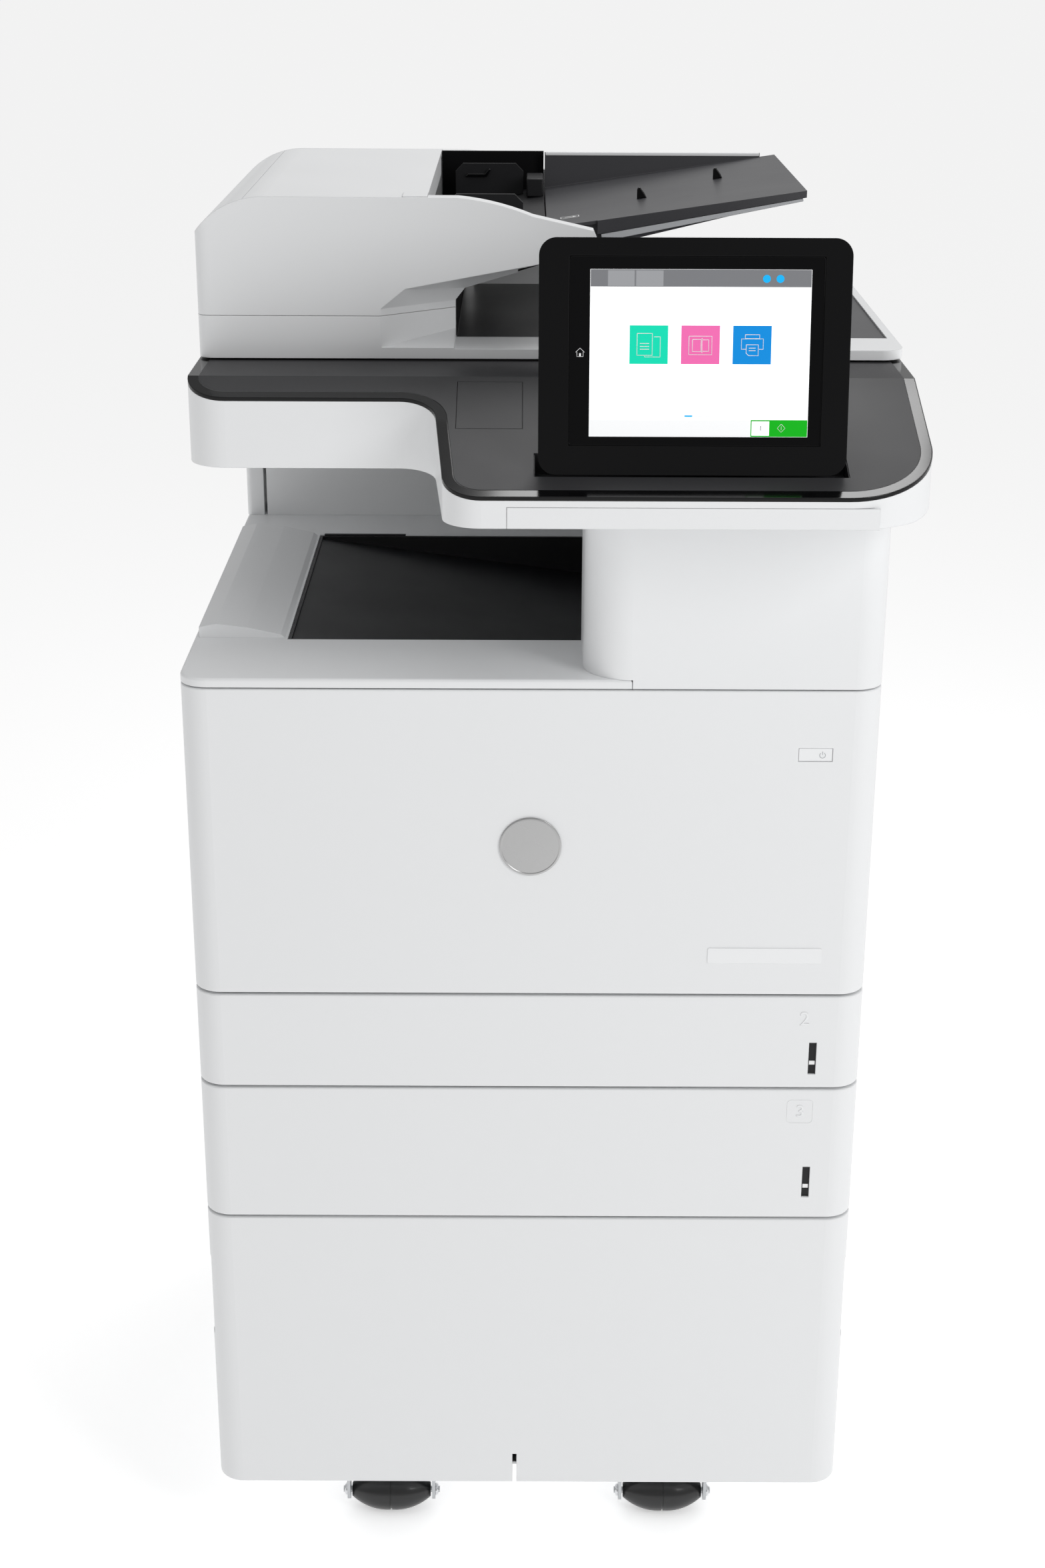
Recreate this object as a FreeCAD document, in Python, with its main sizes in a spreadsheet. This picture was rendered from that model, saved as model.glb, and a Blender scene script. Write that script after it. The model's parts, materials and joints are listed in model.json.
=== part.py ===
import FreeCAD, Part
import math
import os
import re
from types import SimpleNamespace

import Sketcher

# Floor-standing A3 multifunction copier.
# X runs to the right, Y to the back, Z up; the origin is on the floor under the
# middle of the body. FRONT is the plane of the front doors.

V = FreeCAD.Vector
doc = FreeCAD.newDocument("copier")

# ---------------------------------------------------------------- dimensions
SIZES = {
    # body
    "body_width": 565, "body_depth": 570, "corner_round": 23, "panel_deep": 24, "panel_gap": 2.4,
    "shell_gap": 2.3, "wall": 3, "panel_skin": 4, "fit_gap": 0.3,
    # heights above the floor
    "stand_base": 76, "drawer_low": 355.5, "drawer_high": 483, "door_low": 571, "deck_base": 842,
    "deck_top": 849.3, "scan_base": 1008, "lip_base": 995, "scan_top": 1075, "lid_seam": 1111,
    "feeder_top": 1206,
    # casters
    "caster_x": 128, "caster_in": 63, "caster_back_in": 507, "wheel_radius": 19, "wheel_wide": 74,
    "wheel_end_radius": 6.5, "axle_radius": 3, "fork_sheet": 3, "fork_wide": 83, "plate_size": 66,
    # stand
    "grip_low": 226, "grip_tall": 80, "grip_deep": 2, "notch_x": 11.6, "notch_wide": 3.7, "notch_tall": 31,
    # drawers
    "pan_wide": 530, "pan_deep": 470, "pan_wall": 2.5, "rail_tall": 6, "lift_pivot": 120, "lift_right": 215,
    "paper_wide": 297, "paper_front": 130, "guide_thick": 3, "guide_tall": 42, "guide_x": 45, "guide_long": 50,
    "gauge_x": 240, "gauge_tall": 30, "gauge_wide": 6.5,
    # front door
    "hinge_radius": 2.2, "button_x": 229.6, "button_z": 786.5, "button_wide": 27, "button_tall": 11,
    "badge_z": 706, "badge_radius": 25.5, "badge_thick": 1.6, "label_x": 195.5, "label_z": 608,
    "label_wide": 95, "label_tall": 14, "label_thick": 0.6,
    # output bin, column and rear housing
    "bin_left": 204, "bin_right": 100, "bin_front": 105, "bin_back": 441, "ledge_back": 517,
    "bin_drop": 38, "column_left": 42, "column_round": 38, "post_left": 283, "post_wide": 17,
    "housing_left": 263,
    # scanner
    "scan_left": 274, "scan_right": 304, "scan_front": 52, "scan_back": 540, "lip_front": 83,
    "slope_start": 84, "slope": 0.334, "left_round": 32, "right_round": 70, "bend_start": 105,
    "bend_end": 38, "bend_radius": 30, "rim_side": 8, "rim_thick": 9, "top_skin": 3, "under_slope": 0.116,
    "platen_wide": 432, "platen_deep": 302, "glass_thick": 4,
    "pocket_x": 59, "pocket_wide": 51, "bay_left": 19, "bay_right": 257, "bay_tall": 16,
    # lid and feeder
    "lid_front": 150, "lid_back": 505, "lid_right": 306, "lid_plate": 8, "lid_gap": 1.5, "surface_front": 206,
    "surface_back": 495, "lid_wall": 1126, "feeder_back": 517, "cover_right": 85, "cover_thick": 5,
    "tray_front": 221, "tray_back": 495, "tray_end": 227.5, "tray_end_z": 1204, "tray_slope": 8.2,
    "tray_skin": 3, "tray_lip": 8,
    # control panel
    "panel_left": 4, "panel_wide": 230, "panel_tall": 173, "panel_thick": 14, "panel_lean": 8,
    "panel_front": 55, "panel_foot": 1029, "well_floor": 1022, "hinge_in": 36, "hinge_up": 27, "screen_left": 41.6, "screen_wide": 162.7, "screen_tall": 121.9,
}
sheet = doc.addObject("Spreadsheet::Sheet", "size")
for row, (alias, value) in enumerate(SIZES.items(), start=1):
    sheet.set(f"A{row}", alias)
    sheet.set(f"B{row}", str(value))
    sheet.setAlias(f"B{row}", alias)
doc.recompute()
S = SimpleNamespace(**{alias: float(sheet.get(alias)) for alias in SIZES})

HALF = "(body_width / 2)"
FRONT = "(-body_depth / 2)"
BACK = "(body_depth / 2)"
PANEL_BACK = f"({FRONT} + panel_deep)"
SHELL_FRONT = f"({FRONT} + panel_deep + shell_gap)"
front_y = -S.body_depth / 2

nodes = []


def expression(text):
    """Write size names as references to the sheet's cells."""
    return re.sub(r"[a-z_]+", lambda m: "size." + m.group() if m.group() in SIZES else m.group(), text)


def bind(thing, name, text):
    thing.setExpression(name, expression(text))


def place(thing, x, y, z):
    for axis, text in zip("xyz", (x, y, z)):
        bind(thing, f"Placement.Base.{axis}", text)


def node(label, thing):
    """Name a finished sub-part; its label is its file's name."""
    thing.Label = label
    nodes.append(thing)
    return thing


# ---------------------------------------------------------- Part primitives
def box(low, high):
    """A block between two corners, each three expressions."""
    block = doc.addObject("Part::Box", "block")
    for name, start, end in zip(("Length", "Width", "Height"), low, high):
        bind(block, name, f"({end}) - ({start})")
    place(block, *low)
    return block


TURNS = {
    "x": FreeCAD.Rotation(V(0, 1, 0), 90),
    "y": FreeCAD.Rotation(V(1, 0, 0), -90),
    "z": FreeCAD.Rotation(),
}


def rod(axis, start, radius, length):
    """A round bar from a start point along an axis."""
    bar = doc.addObject("Part::Cylinder", "bar")
    bar.Placement = FreeCAD.Placement(V(), TURNS[axis])
    bind(bar, "Radius", radius)
    bind(bar, "Height", length)
    place(bar, *start)
    return bar


def fuse(*things):
    if len(things) == 1:
        return things[0]
    joined = doc.addObject("Part::MultiFuse", "joined")
    joined.Shapes = list(things)
    return joined


def cut(base, *tools):
    result = doc.addObject("Part::Cut", "trimmed")
    result.Base = base
    result.Tool = fuse(*tools)
    return result


def group(*things):
    """Separate solids kept in one node."""
    bundle = doc.addObject("Part::Compound", "set")
    bundle.Links = list(things)
    return bundle


def shaped(shape):
    """A sub-part whose shape is worked out from the sheet's values."""
    feature = doc.addObject("Part::Feature", "shaped")
    feature.Shape = shape
    return feature


# -------------------------------------------------------- PartDesign bodies
PLANES = {"xy": "XY_Plane", "xz": "XZ_Plane", "yz": "YZ_Plane"}


def new_body():
    return doc.addObject("PartDesign::Body", "body")


def sketch_on(body, plane, level):
    """A sketch on one of the body's own origin planes, moved out to a level."""
    base = next(f for f in body.Origin.OriginFeatures if f.Role == PLANES[plane])
    sketch = body.newObject("Sketcher::SketchObject", "sketch")
    sketch.AttachmentSupport = [(base, "")]
    sketch.MapMode = "FlatFace"
    bind(sketch, "AttachmentOffset.Base.z", level)
    return sketch


def outline(sketch, points):
    """A closed outline of straight lines whose corners are bound to expressions."""
    count = len(points)
    for i in range(count):
        a, b = (V(math.cos(6.28 * j / count), math.sin(6.28 * j / count), 0) for j in (i, i + 1))
        sketch.addGeometry(Part.LineSegment(a, b), False)
    for i in range(count):
        sketch.addConstraint(Sketcher.Constraint("Coincident", i, 2, (i + 1) % count, 1))
    for i, corner in enumerate(points):
        for kind, text in zip(("DistanceX", "DistanceY"), corner):
            index = sketch.addConstraint(Sketcher.Constraint(kind, -1, 1, i, 1, 1.0))
            bind(sketch, f"Constraints[{index}]", text)


def extrude(body, kind, plane, points, start, end):
    """Pad or pocket an outline between two levels along the plane's own axis."""
    level = f"-({end})" if plane == "xz" else start
    sketch = sketch_on(body, plane, level)
    outline(sketch, points)
    feature = body.newObject(kind, "step")
    feature.Profile = sketch
    bind(feature, "Length", f"({end}) - ({start})")
    if kind == "PartDesign::Pocket":
        feature.Reversed = True
    volume = 0 if body.Shape.isNull() else body.Shape.Volume
    doc.recompute()
    if kind == "PartDesign::Pocket" and feature.Shape.Volume >= volume:
        raise RuntimeError(f"a pocket of {body.Label} cuts nothing")
    return feature


def pad(body, plane, points, start, end):
    return extrude(body, "PartDesign::Pad", plane, points, start, end)


def pocket(body, plane, points, start, end):
    return extrude(body, "PartDesign::Pocket", plane, points, start, end)


def rectangle(left, low, right, high):
    return [(left, low), (right, low), (right, high), (left, high)]


def soften(body, radius, picks, kind="PartDesign::Fillet"):
    """Round or bevel the edges of the body that a test picks."""
    tip = body.Tip
    names = [f"Edge{i}" for i, edge in enumerate(tip.Shape.Edges, start=1) if picks(edge)]
    if not names:
        raise RuntimeError(f"no edge to soften on {body.Label}")
    feature = body.newObject(kind, "soft")
    feature.Base = (tip, names)
    bind(feature, "Radius" if kind.endswith("Fillet") else "Size", radius)
    doc.recompute()
    return feature


def runs(edge, axis):
    """Whether an edge is a straight line along an axis."""
    if edge.Curve.TypeId != "Part::GeomLine":
        return False
    return abs(getattr(edge.Curve.Direction, axis)) > 0.999


def at(edge, **where):
    """Whether an edge's middle lies at the given coordinates."""
    middle = edge.BoundBox.Center
    return all(abs(getattr(middle, axis) - value) < 0.6 for axis, value in where.items())


# ------------------------------------------------------------- front panels
def front_panel(low, high):
    """A moulded front whose rounded corners wrap to the sides, hollow behind."""
    body = new_body()
    pad(body, "xy", rectangle(f"-{HALF}", FRONT, HALF, PANEL_BACK), low, high)
    soften(body, "corner_round", lambda e: runs(e, "z") and at(e, y=front_y))
    side = "(corner_round + panel_skin)"
    pocket(body, "xy", rectangle(f"-{HALF} + {side}", f"{FRONT} + panel_skin", f"{HALF} - {side}", PANEL_BACK),
           f"{low} + panel_skin", f"{high} - panel_skin")
    outer = [e for e in body.Tip.Shape.Edges if abs(e.BoundBox.YMin - front_y) < 0.1
             and e.BoundBox.ZLength < 0.1 and e.BoundBox.XLength > S.body_width / 2]
    middles = [e.BoundBox.Center for e in outer]
    soften(body, "1.2", lambda e: any(e.BoundBox.Center.distanceToPoint(m) < 0.1 for m in middles))
    return body


def stand_door():
    body = front_panel("stand_base", "drawer_low - panel_gap / 2")
    for left, right in ((f"-{HALF} - 1", f"-{HALF} + grip_deep"), (f"{HALF} - grip_deep", f"{HALF} + 1")):
        pocket(body, "xy", rectangle(left, f"{FRONT} + panel_deep - 10", right, f"{PANEL_BACK} + 1"),
               "grip_low", "grip_low + grip_tall")
    pocket(body, "xy", rectangle("-notch_x - notch_wide / 2", f"{FRONT} - 1", "-notch_x + notch_wide / 2",
           f"{PANEL_BACK} + 1"), "stand_base - 1", "stand_base + notch_tall")
    return node("stand_door", body)


def gauge_slot(body, z):
    """A slot through a drawer front for its stack gauge."""
    half = "gauge_wide / 2"
    pocket(body, "xy", rectangle(f"gauge_x - {half}", f"{FRONT} - 1", f"gauge_x + {half}", f"{PANEL_BACK} + 1"),
           f"{z} - gauge_tall / 2", f"{z} + gauge_tall / 2")


def drawer_front(label, low, high, gauge_z):
    body = front_panel(f"{low} + panel_gap / 2", f"{high} - panel_gap / 2")
    gauge_slot(body, gauge_z)
    return node(label, body)


# -------------------------------------------------------------------- stand
def stand_shell():
    body = new_body()
    pad(body, "xy", rectangle(f"-{HALF}", SHELL_FRONT, HALF, BACK), "stand_base", "drawer_low - 1")
    soften(body, "8", lambda e: runs(e, "z") and at(e, y=-front_y))
    inner = rectangle(f"-{HALF} + wall", f"{SHELL_FRONT} - 1", f"{HALF} - wall", f"{BACK} - wall")
    pocket(body, "xy", inner, "stand_base + wall", "drawer_low - 1 - wall")
    return node("stand_shell", body)


# ------------------------------------------------------------------ casters
CASTERS = {
    "front_left": ("-caster_x", f"{FRONT} + caster_in"),
    "front_right": ("caster_x", f"{FRONT} + caster_in"),
    "rear_left": ("-caster_x", f"{FRONT} + caster_back_in"),
    "rear_right": ("caster_x", f"{FRONT} + caster_back_in"),
}


def caster_plates():
    plates = []
    half = "plate_size / 2"
    for x, y in CASTERS.values():
        plate = box((f"{x} - {half}", f"{y} - {half}", "stand_base - 3"), (f"{x} + {half}", f"{y} + {half}", "stand_base"))
        stem = rod("z", (x, y, "stand_base - 9"), "9", "6")
        plates.append(fuse(plate, stem))
    return node("caster_plates", group(*plates))


def caster_fork(name, x, y):
    """A sheet fork over the wheel, with its axle pin through both ears."""
    half = "fork_wide / 2"
    top = box((f"{x} - {half}", f"{y} - 20", "stand_base - 12.3"), (f"{x} + {half}", f"{y} + 20", "stand_base - 9.3"))
    ears = []
    for side in (f"{x} - {half}", f"{x} + {half} - fork_sheet"):
        ears.append(box((side, f"{y} - 9", "wheel_radius"), (f"{side} + fork_sheet", f"{y} + 9", "stand_base - 12.3")))
        ears.append(rod("x", (side, y, "wheel_radius"), "9", "fork_sheet"))
    pin = rod("x", (f"{x} - {half} - 4", y, "wheel_radius"), "axle_radius", "fork_wide + 8")
    return node(f"caster_fork_{name}", fuse(top, *ears, pin))


def caster_wheel(name, x, y):
    """Two barrel halves, largest at the middle, with a seam between them."""
    half, end, big, hole = S.wheel_wide / 2, S.wheel_end_radius, S.wheel_radius, S.axle_radius + 0.05
    seam = 0.8
    arc = Part.Arc(V(-half, end, 0), V(-half * 0.55, end + (big - end) * 0.78, 0), V(-seam, big, 0))
    profile = [arc.toShape(), Part.makeLine(V(-seam, big, 0), V(-seam, big - 1.2, 0)),
               Part.makeLine(V(-seam, big - 1.2, 0), V(seam, big - 1.2, 0)),
               Part.makeLine(V(seam, big - 1.2, 0), V(seam, big, 0)),
               arc.toShape().mirror(V(), V(1, 0, 0)),
               Part.makeLine(V(half, end, 0), V(half, hole, 0)),
               Part.makeLine(V(half, hole, 0), V(-half, hole, 0)),
               Part.makeLine(V(-half, hole, 0), V(-half, end, 0))]
    face = Part.Face(Part.Wire(Part.sortEdges(profile)[0]))
    wheel = shaped(face.revolve(V(), V(1, 0, 0), 360))
    place(wheel, x, y, "wheel_radius")
    return node(f"caster_wheel_{name}", wheel)


# --------------------------------------------------------- drawer unit, frame
def drawer_unit_shell():
    body = new_body()
    pad(body, "xy", rectangle(f"-{HALF}", SHELL_FRONT, HALF, BACK), "drawer_low", "drawer_high - 1")
    soften(body, "8", lambda e: runs(e, "z") and at(e, y=-front_y))
    inner = rectangle(f"-{HALF} + wall", f"{SHELL_FRONT} - 1", f"{HALF} - wall", f"{BACK} - wall")
    pocket(body, "xy", inner, "drawer_low + wall", "drawer_high")
    return node("drawer_unit_shell", body)


def left_cover():
    body = new_body()
    pad(body, "xy", rectangle(f"-{HALF}", SHELL_FRONT, f"-{HALF} + wall", f"{BACK} - wall"), "drawer_high + 1", "deck_base")
    slot_count = 9
    for i in range(slot_count):
        z = f"door_low + 60 + {i} * 12"
        pocket(body, "xy", rectangle(f"-{HALF} - 1", f"{BACK} - 190", f"-{HALF} + wall + 1", f"{BACK} - 70"), z, f"{z} + 5")
    return node("left_cover", body)


def right_cover():
    body = new_body()
    pad(body, "xy", rectangle(f"{HALF} - wall", SHELL_FRONT, HALF, f"{BACK} - wall"), "drawer_high + 1", "deck_base")
    pocket(body, "xy", rectangle(f"{HALF} - wall - 1", f"{FRONT} + 130", f"{HALF} + 1", f"{BACK} - 80"),
           "door_low + 20", "deck_base - 20")
    return node("right_cover", body)


def rear_cover():
    body = new_body()
    pad(body, "xy", rectangle(f"-{HALF}", f"{BACK} - wall", HALF, BACK), "drawer_high + 1", "deck_base")
    pocket(body, "xy", rectangle(f"-{HALF} + 60", f"{BACK} - wall - 1", f"-{HALF} + 108", f"{BACK} + 1"),
           "drawer_high + 40", "drawer_high + 72")
    pocket(body, "xy", rectangle(f"{HALF} - 190", f"{BACK} - wall - 1", f"{HALF} - 70", f"{BACK} + 1"),
           "drawer_high + 200", "drawer_high + 240")
    for i in range(7):
        z = f"deck_base - 150 + {i} * 14"
        pocket(body, "xy", rectangle(f"-{HALF} + 60", f"{BACK} - wall - 1", f"-{HALF} + 170", f"{BACK} + 1"), z, f"{z} + 6")
    return node("rear_cover", body)


def mains_inlet():
    """Three-pin appliance inlet set in the rear cover."""
    body = box((f"-{HALF} + 60.3", f"{BACK} - 26", "drawer_high + 40.3"), (f"-{HALF} + 107.7", BACK, "drawer_high + 71.7"))
    well = box((f"-{HALF} + 70", f"{BACK} - 18", "drawer_high + 46"), (f"-{HALF} + 98", f"{BACK} + 1", "drawer_high + 66"))
    pins = [rod("y", (f"-{HALF} + {x}", f"{BACK} - 18.2", "drawer_high + 56"), "2", "14") for x in (77, 84, 91)]
    return node("mains_inlet", fuse(cut(body, well), *pins))


# ------------------------------------------------------------------ drawers
DRAWERS = {"upper": ("drawer_high", "door_low"), "lower": ("drawer_low", "drawer_high")}
PAN_HALF = "(pan_wide / 2)"
PAN_FLOOR = "(pan_wall + 5)"
RIB_LOW = 20
EXIT_X, EXIT_Z = "(bin_right + 13)", "(deck_top + 15)"


def drawer_pan(name, low, high):
    """Open cassette behind the front, with a runner rib along each side."""
    body = new_body()
    end = f"({PANEL_BACK} + pan_deep)"
    pad(body, "xy", rectangle(f"-{PAN_HALF}", PANEL_BACK, PAN_HALF, end), f"{low} + 5", f"{high} - 28")
    inner = rectangle(f"-{PAN_HALF} + pan_wall", f"{PANEL_BACK} + pan_wall", f"{PAN_HALF} - pan_wall", f"{end} - pan_wall")
    pocket(body, "xy", inner, f"{low} + 5 + pan_wall", f"{high} - 28")
    for left, right in ((f"-{PAN_HALF} - 11", f"-{PAN_HALF}"), (PAN_HALF, f"{PAN_HALF} + 11")):
        pad(body, "xy", rectangle(left, f"{PANEL_BACK} + 10", right, end), f"{low} + {RIB_LOW}", f"{low} + {RIB_LOW} + 5")
    return node(f"{name}_drawer_pan", group(body, side_guide(low, -1), side_guide(low, 1)))


def drawer_rails(low):
    """A rail along each side wall for the pan's ribs to slide on."""
    top = f"{low} + {RIB_LOW} - fit_gap"
    near, far = f"{SHELL_FRONT} + 6", f"{BACK} - 30"
    left = box((f"-{HALF} + wall", near, f"{top} - rail_tall"), (f"-{PAN_HALF} - 2", far, top))
    right = box((f"{PAN_HALF} + 2", near, f"{top} - rail_tall"), (f"{HALF} - wall", far, top))
    return [left, right]


def lift_plate(name, low):
    """Hinged plate under the stack, slotted for the side guides and the end guide."""
    body = new_body()
    floor = f"({low} + {PAN_FLOOR} + fit_gap)"
    near, far = f"{PANEL_BACK} + 16", f"{PANEL_BACK} + pan_deep - 14"
    pad(body, "xy", rectangle("-lift_pivot", near, "lift_right", far), floor, f"{floor} + 1.5")
    travel = "(paper_wide / 4 + 4)"
    sides = ("guide_x - 3", "guide_x + guide_long + 3")
    front_face = f"({FRONT} + paper_front)"
    rear_face = f"({FRONT} + paper_front + paper_wide)"
    for start, end in ((f"{front_face} - 32", f"{front_face} + {travel}"), (f"{rear_face} - {travel}", f"{rear_face} + 32")):
        pocket(body, "xy", rectangle(sides[0], start, sides[1], end), f"{floor} - 1", f"{floor} + 3")
    middle = f"({FRONT} + paper_front + paper_wide / 2)"
    pocket(body, "xy", rectangle("-lift_pivot - 1", f"{middle} - 24", "-8", f"{middle} + 24"), f"{floor} - 1", f"{floor} + 3")
    return node(f"{name}_lift_plate", body)


def side_guide(low, outward):
    """An upright against the stack's edge on a foot that slides on the pan's floor."""
    floor = f"({low} + {PAN_FLOOR} + fit_gap)"
    left, right = "guide_x", "guide_x + guide_long"
    face = f"({FRONT} + paper_front)" if outward < 0 else f"({FRONT} + paper_front + paper_wide)"
    if outward < 0:
        upright = box((left, f"{face} - guide_thick", floor), (right, face, f"{floor} + guide_tall"))
        foot = box((left, f"{face} - 28", floor), (right, f"{face} - guide_thick", f"{floor} + 2.5"))
    else:
        upright = box((left, face, floor), (right, f"{face} + guide_thick", f"{floor} + guide_tall"))
        foot = box((left, f"{face} + guide_thick", floor), (right, f"{face} + 28", f"{floor} + 2.5"))
    return fuse(upright, foot)


def feed_roller(high):
    """Shaft with two rubber tyres that takes the top sheet."""
    z = f"{high} - 15"
    shaft = rod("y", ("225", f"{FRONT} + 190", z), "3", "240")
    tyres = [rod("y", ("225", f"{FRONT} + {start}", z), "11", "30") for start in (260, 330)]
    return fuse(shaft, *tyres)


def feed_bracket(start, high):
    """Bearing plate of a feed roller, fixed to the right-hand side."""
    near, far = f"{FRONT} + {start}", f"{FRONT} + {start} + 4"
    plate = box(("215", near, f"{high} - 25"), (f"{HALF} - wall", far, f"{high} - 5"))
    return cut(plate, rod("y", ("225", f"{near} - 1", f"{high} - 15"), "3", "6"))


def exit_bracket(start):
    """Bearing plate of the exit roller, standing on the deck."""
    near, far = f"{FRONT} + {start}", f"{FRONT} + {start} + 4"
    plate = box((f"{EXIT_X} - 9", near, "deck_top"), (f"{EXIT_X} + 9", far, "deck_top + 26"))
    return cut(plate, rod("y", (EXIT_X, f"{near} - 1", EXIT_Z), "3.05", "6"))


def feed_units():
    """Both drawers' feed rollers and every roller's bearing plates."""
    parts = [exit_bracket(start) for start in (144, 424)]
    for low, high in DRAWERS.values():
        parts.append(feed_roller(high))
        parts += [feed_bracket(start, high) for start in (196, 420)]
    return node("feed_units", group(*parts))


# ------------------------------------------------------------ engine inside
TONERS = {"black": -205, "cyan": -118, "magenta": -31, "yellow": 56}
FRAME_FRONT, FRAME_BACK = 55, "(body_depth - 70)"
TONER_LOW, TONER_WIDE, TONER_TALL = 734, 74, 62


def frame_plate(depth, toner_windows):
    near, far = f"{FRONT} + {depth}", f"{FRONT} + {depth} + 3"
    plate = box((f"-{HALF} + wall", near, "door_low + 8"), (f"{HALF} - wall", far, "deck_base"))
    if not toner_windows:
        return plate
    windows = []
    for x in TONERS.values():
        windows.append(box((f"{x} - fit_gap", f"{near} - 1", f"{TONER_LOW} - fit_gap"),
                           (f"{x} + {TONER_WIDE} + fit_gap", f"{far} + 1", f"{TONER_LOW + TONER_TALL} + fit_gap")))
    return cut(plate, *windows)


def engine_frame():
    """Steel floor plate, front and rear plates and the drawers' rails."""
    floor = box((f"-{HALF} + 1", f"{SHELL_FRONT} + 2", "drawer_high - 1"), (f"{HALF} - 1", f"{BACK} - 1", "drawer_high + 1"))
    parts = [floor, frame_plate(FRAME_FRONT, True), frame_plate(FRAME_BACK, False)]
    for low, _ in DRAWERS.values():
        parts += drawer_rails(low)
    return node("engine_frame", group(*parts))


def toner_cartridge(x):
    body = new_body()
    near = f"({FRONT} + {FRAME_FRONT} - 14)"
    pad(body, "xz", rectangle(f"{x}", f"{TONER_LOW}", f"{x} + {TONER_WIDE}", f"{TONER_LOW + TONER_TALL}"),
        near, f"{FRONT} + {FRAME_BACK}")
    soften(body, "9", lambda e: runs(e, "y") and at(e, z=TONER_LOW + TONER_TALL))
    pocket(body, "xy", rectangle(f"{x} + 20", f"{near} - 1", f"{x} + {TONER_WIDE} - 20", f"{near} + 10"),
           f"{TONER_LOW} + 24", f"{TONER_LOW} + 54")
    return body


def toner_cartridges():
    return node("toner_cartridges", group(*[toner_cartridge(x) for x in TONERS.values()]))


def engine_block(label, left, right, low, high, radius):
    """A closed module carried between the two frame plates."""
    body = new_body()
    pad(body, "xz", rectangle(left, low, right, high), f"{FRONT} + {FRAME_FRONT + 3}", f"{FRONT} + {FRAME_BACK}")
    soften(body, radius, lambda e: runs(e, "y"))
    return node(label, body)


# --------------------------------------------------------------- front door
DOOR_AXIS_IN, DOOR_AXIS_UP = 5, 6


def front_door():
    low = "(door_low + panel_gap / 2)"
    body = front_panel(low, "deck_base - panel_gap / 2 - fit_gap")
    half_wide, half_tall = "(button_wide / 2 + fit_gap)", "(button_tall / 2 + fit_gap)"
    pocket(body, "xy", rectangle(f"button_x - {half_wide}", f"{FRONT} - 1", f"button_x + {half_wide}", f"{FRONT} + 12"),
           f"button_z - {half_tall}", f"button_z + {half_tall}")
    return node("front_door", body)


def power_button():
    cap = box(("button_x - button_wide / 2", f"{FRONT} + 0.4", "button_z - button_tall / 2"),
              ("button_x + button_wide / 2", f"{FRONT} + panel_skin + 2", "button_z + button_tall / 2"))
    return node("power_button", cap)


def door_badge():
    disc = rod("y", ("0", f"{FRONT} - badge_thick", "badge_z"), "badge_radius", "badge_thick")
    return node("door_badge", disc)


# ----------------------------------------------- deck, bin, column, housing
def top_deck():
    body = new_body()
    pad(body, "xy", rectangle(f"-{HALF}", FRONT, HALF, BACK), "deck_base", "deck_top")
    soften(body, "corner_round", lambda e: runs(e, "z") and at(e, x=-S.body_width / 2, y=front_y))
    pocket(body, "xy", rectangle("column_left + column_round + 0.5", f"{FRONT} - 1", f"{HALF} + 1", f"{FRONT} + bin_front"),
           "deck_base - 1", "deck_top + 1")
    pocket(body, "xy", rectangle("-bin_left", f"{FRONT} + bin_front", "bin_right", f"{FRONT} + bin_back"),
           "deck_base - 1", "deck_top + 1")
    soften(body, "2.5", lambda e: abs(e.BoundBox.ZMin - S.deck_top) < 0.01 and e.BoundBox.ZLength < 0.01
           and e.BoundBox.YMin < front_y + 0.01)
    low, top = "deck_top - 1", "deck_top"
    ramp = [("-bin_left - 1", low), (f"-{HALF} + 4", low), (f"-{HALF} + 4", f"{top} + 9"), (f"-{HALF} + 18", f"{top} + 12"),
            (f"-{HALF} + 44", f"{top} + 9"), ("-bin_left - 6", f"{top} + 3")]
    pad(body, "xz", ramp, f"{FRONT} + bin_front + 4", f"{FRONT} + bin_back - 3")
    return node("top_deck", body)


def bin_floor():
    """Dark tray let into the deck; its floor falls to the exit on the right."""
    body = new_body()
    near, far = f"{FRONT} + bin_front + fit_gap", f"{FRONT} + bin_back - fit_gap"
    left, right = "-bin_left + fit_gap", "bin_right - fit_gap"
    pad(body, "xy", rectangle(left, near, right, far), "deck_base - bin_drop", "deck_top - 0.8")
    corners = [("-bin_left + 3", "deck_top - 3"), ("bin_right - 3", "deck_base - bin_drop + 3"),
               ("bin_right - 3", "deck_top + 1"), ("-bin_left + 3", "deck_top + 1")]
    pocket(body, "xz", corners, f"{near} + 3", f"{far} - 3")
    under = [("-bin_left - 1", "deck_top - 6"), ("-bin_left - 1", "deck_base - bin_drop - 1"),
             ("bin_right - 20", "deck_base - bin_drop - 1")]
    pocket(body, "xz", under, f"{near} - 1", f"{far} + 1")
    return node("bin_floor", body)


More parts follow.
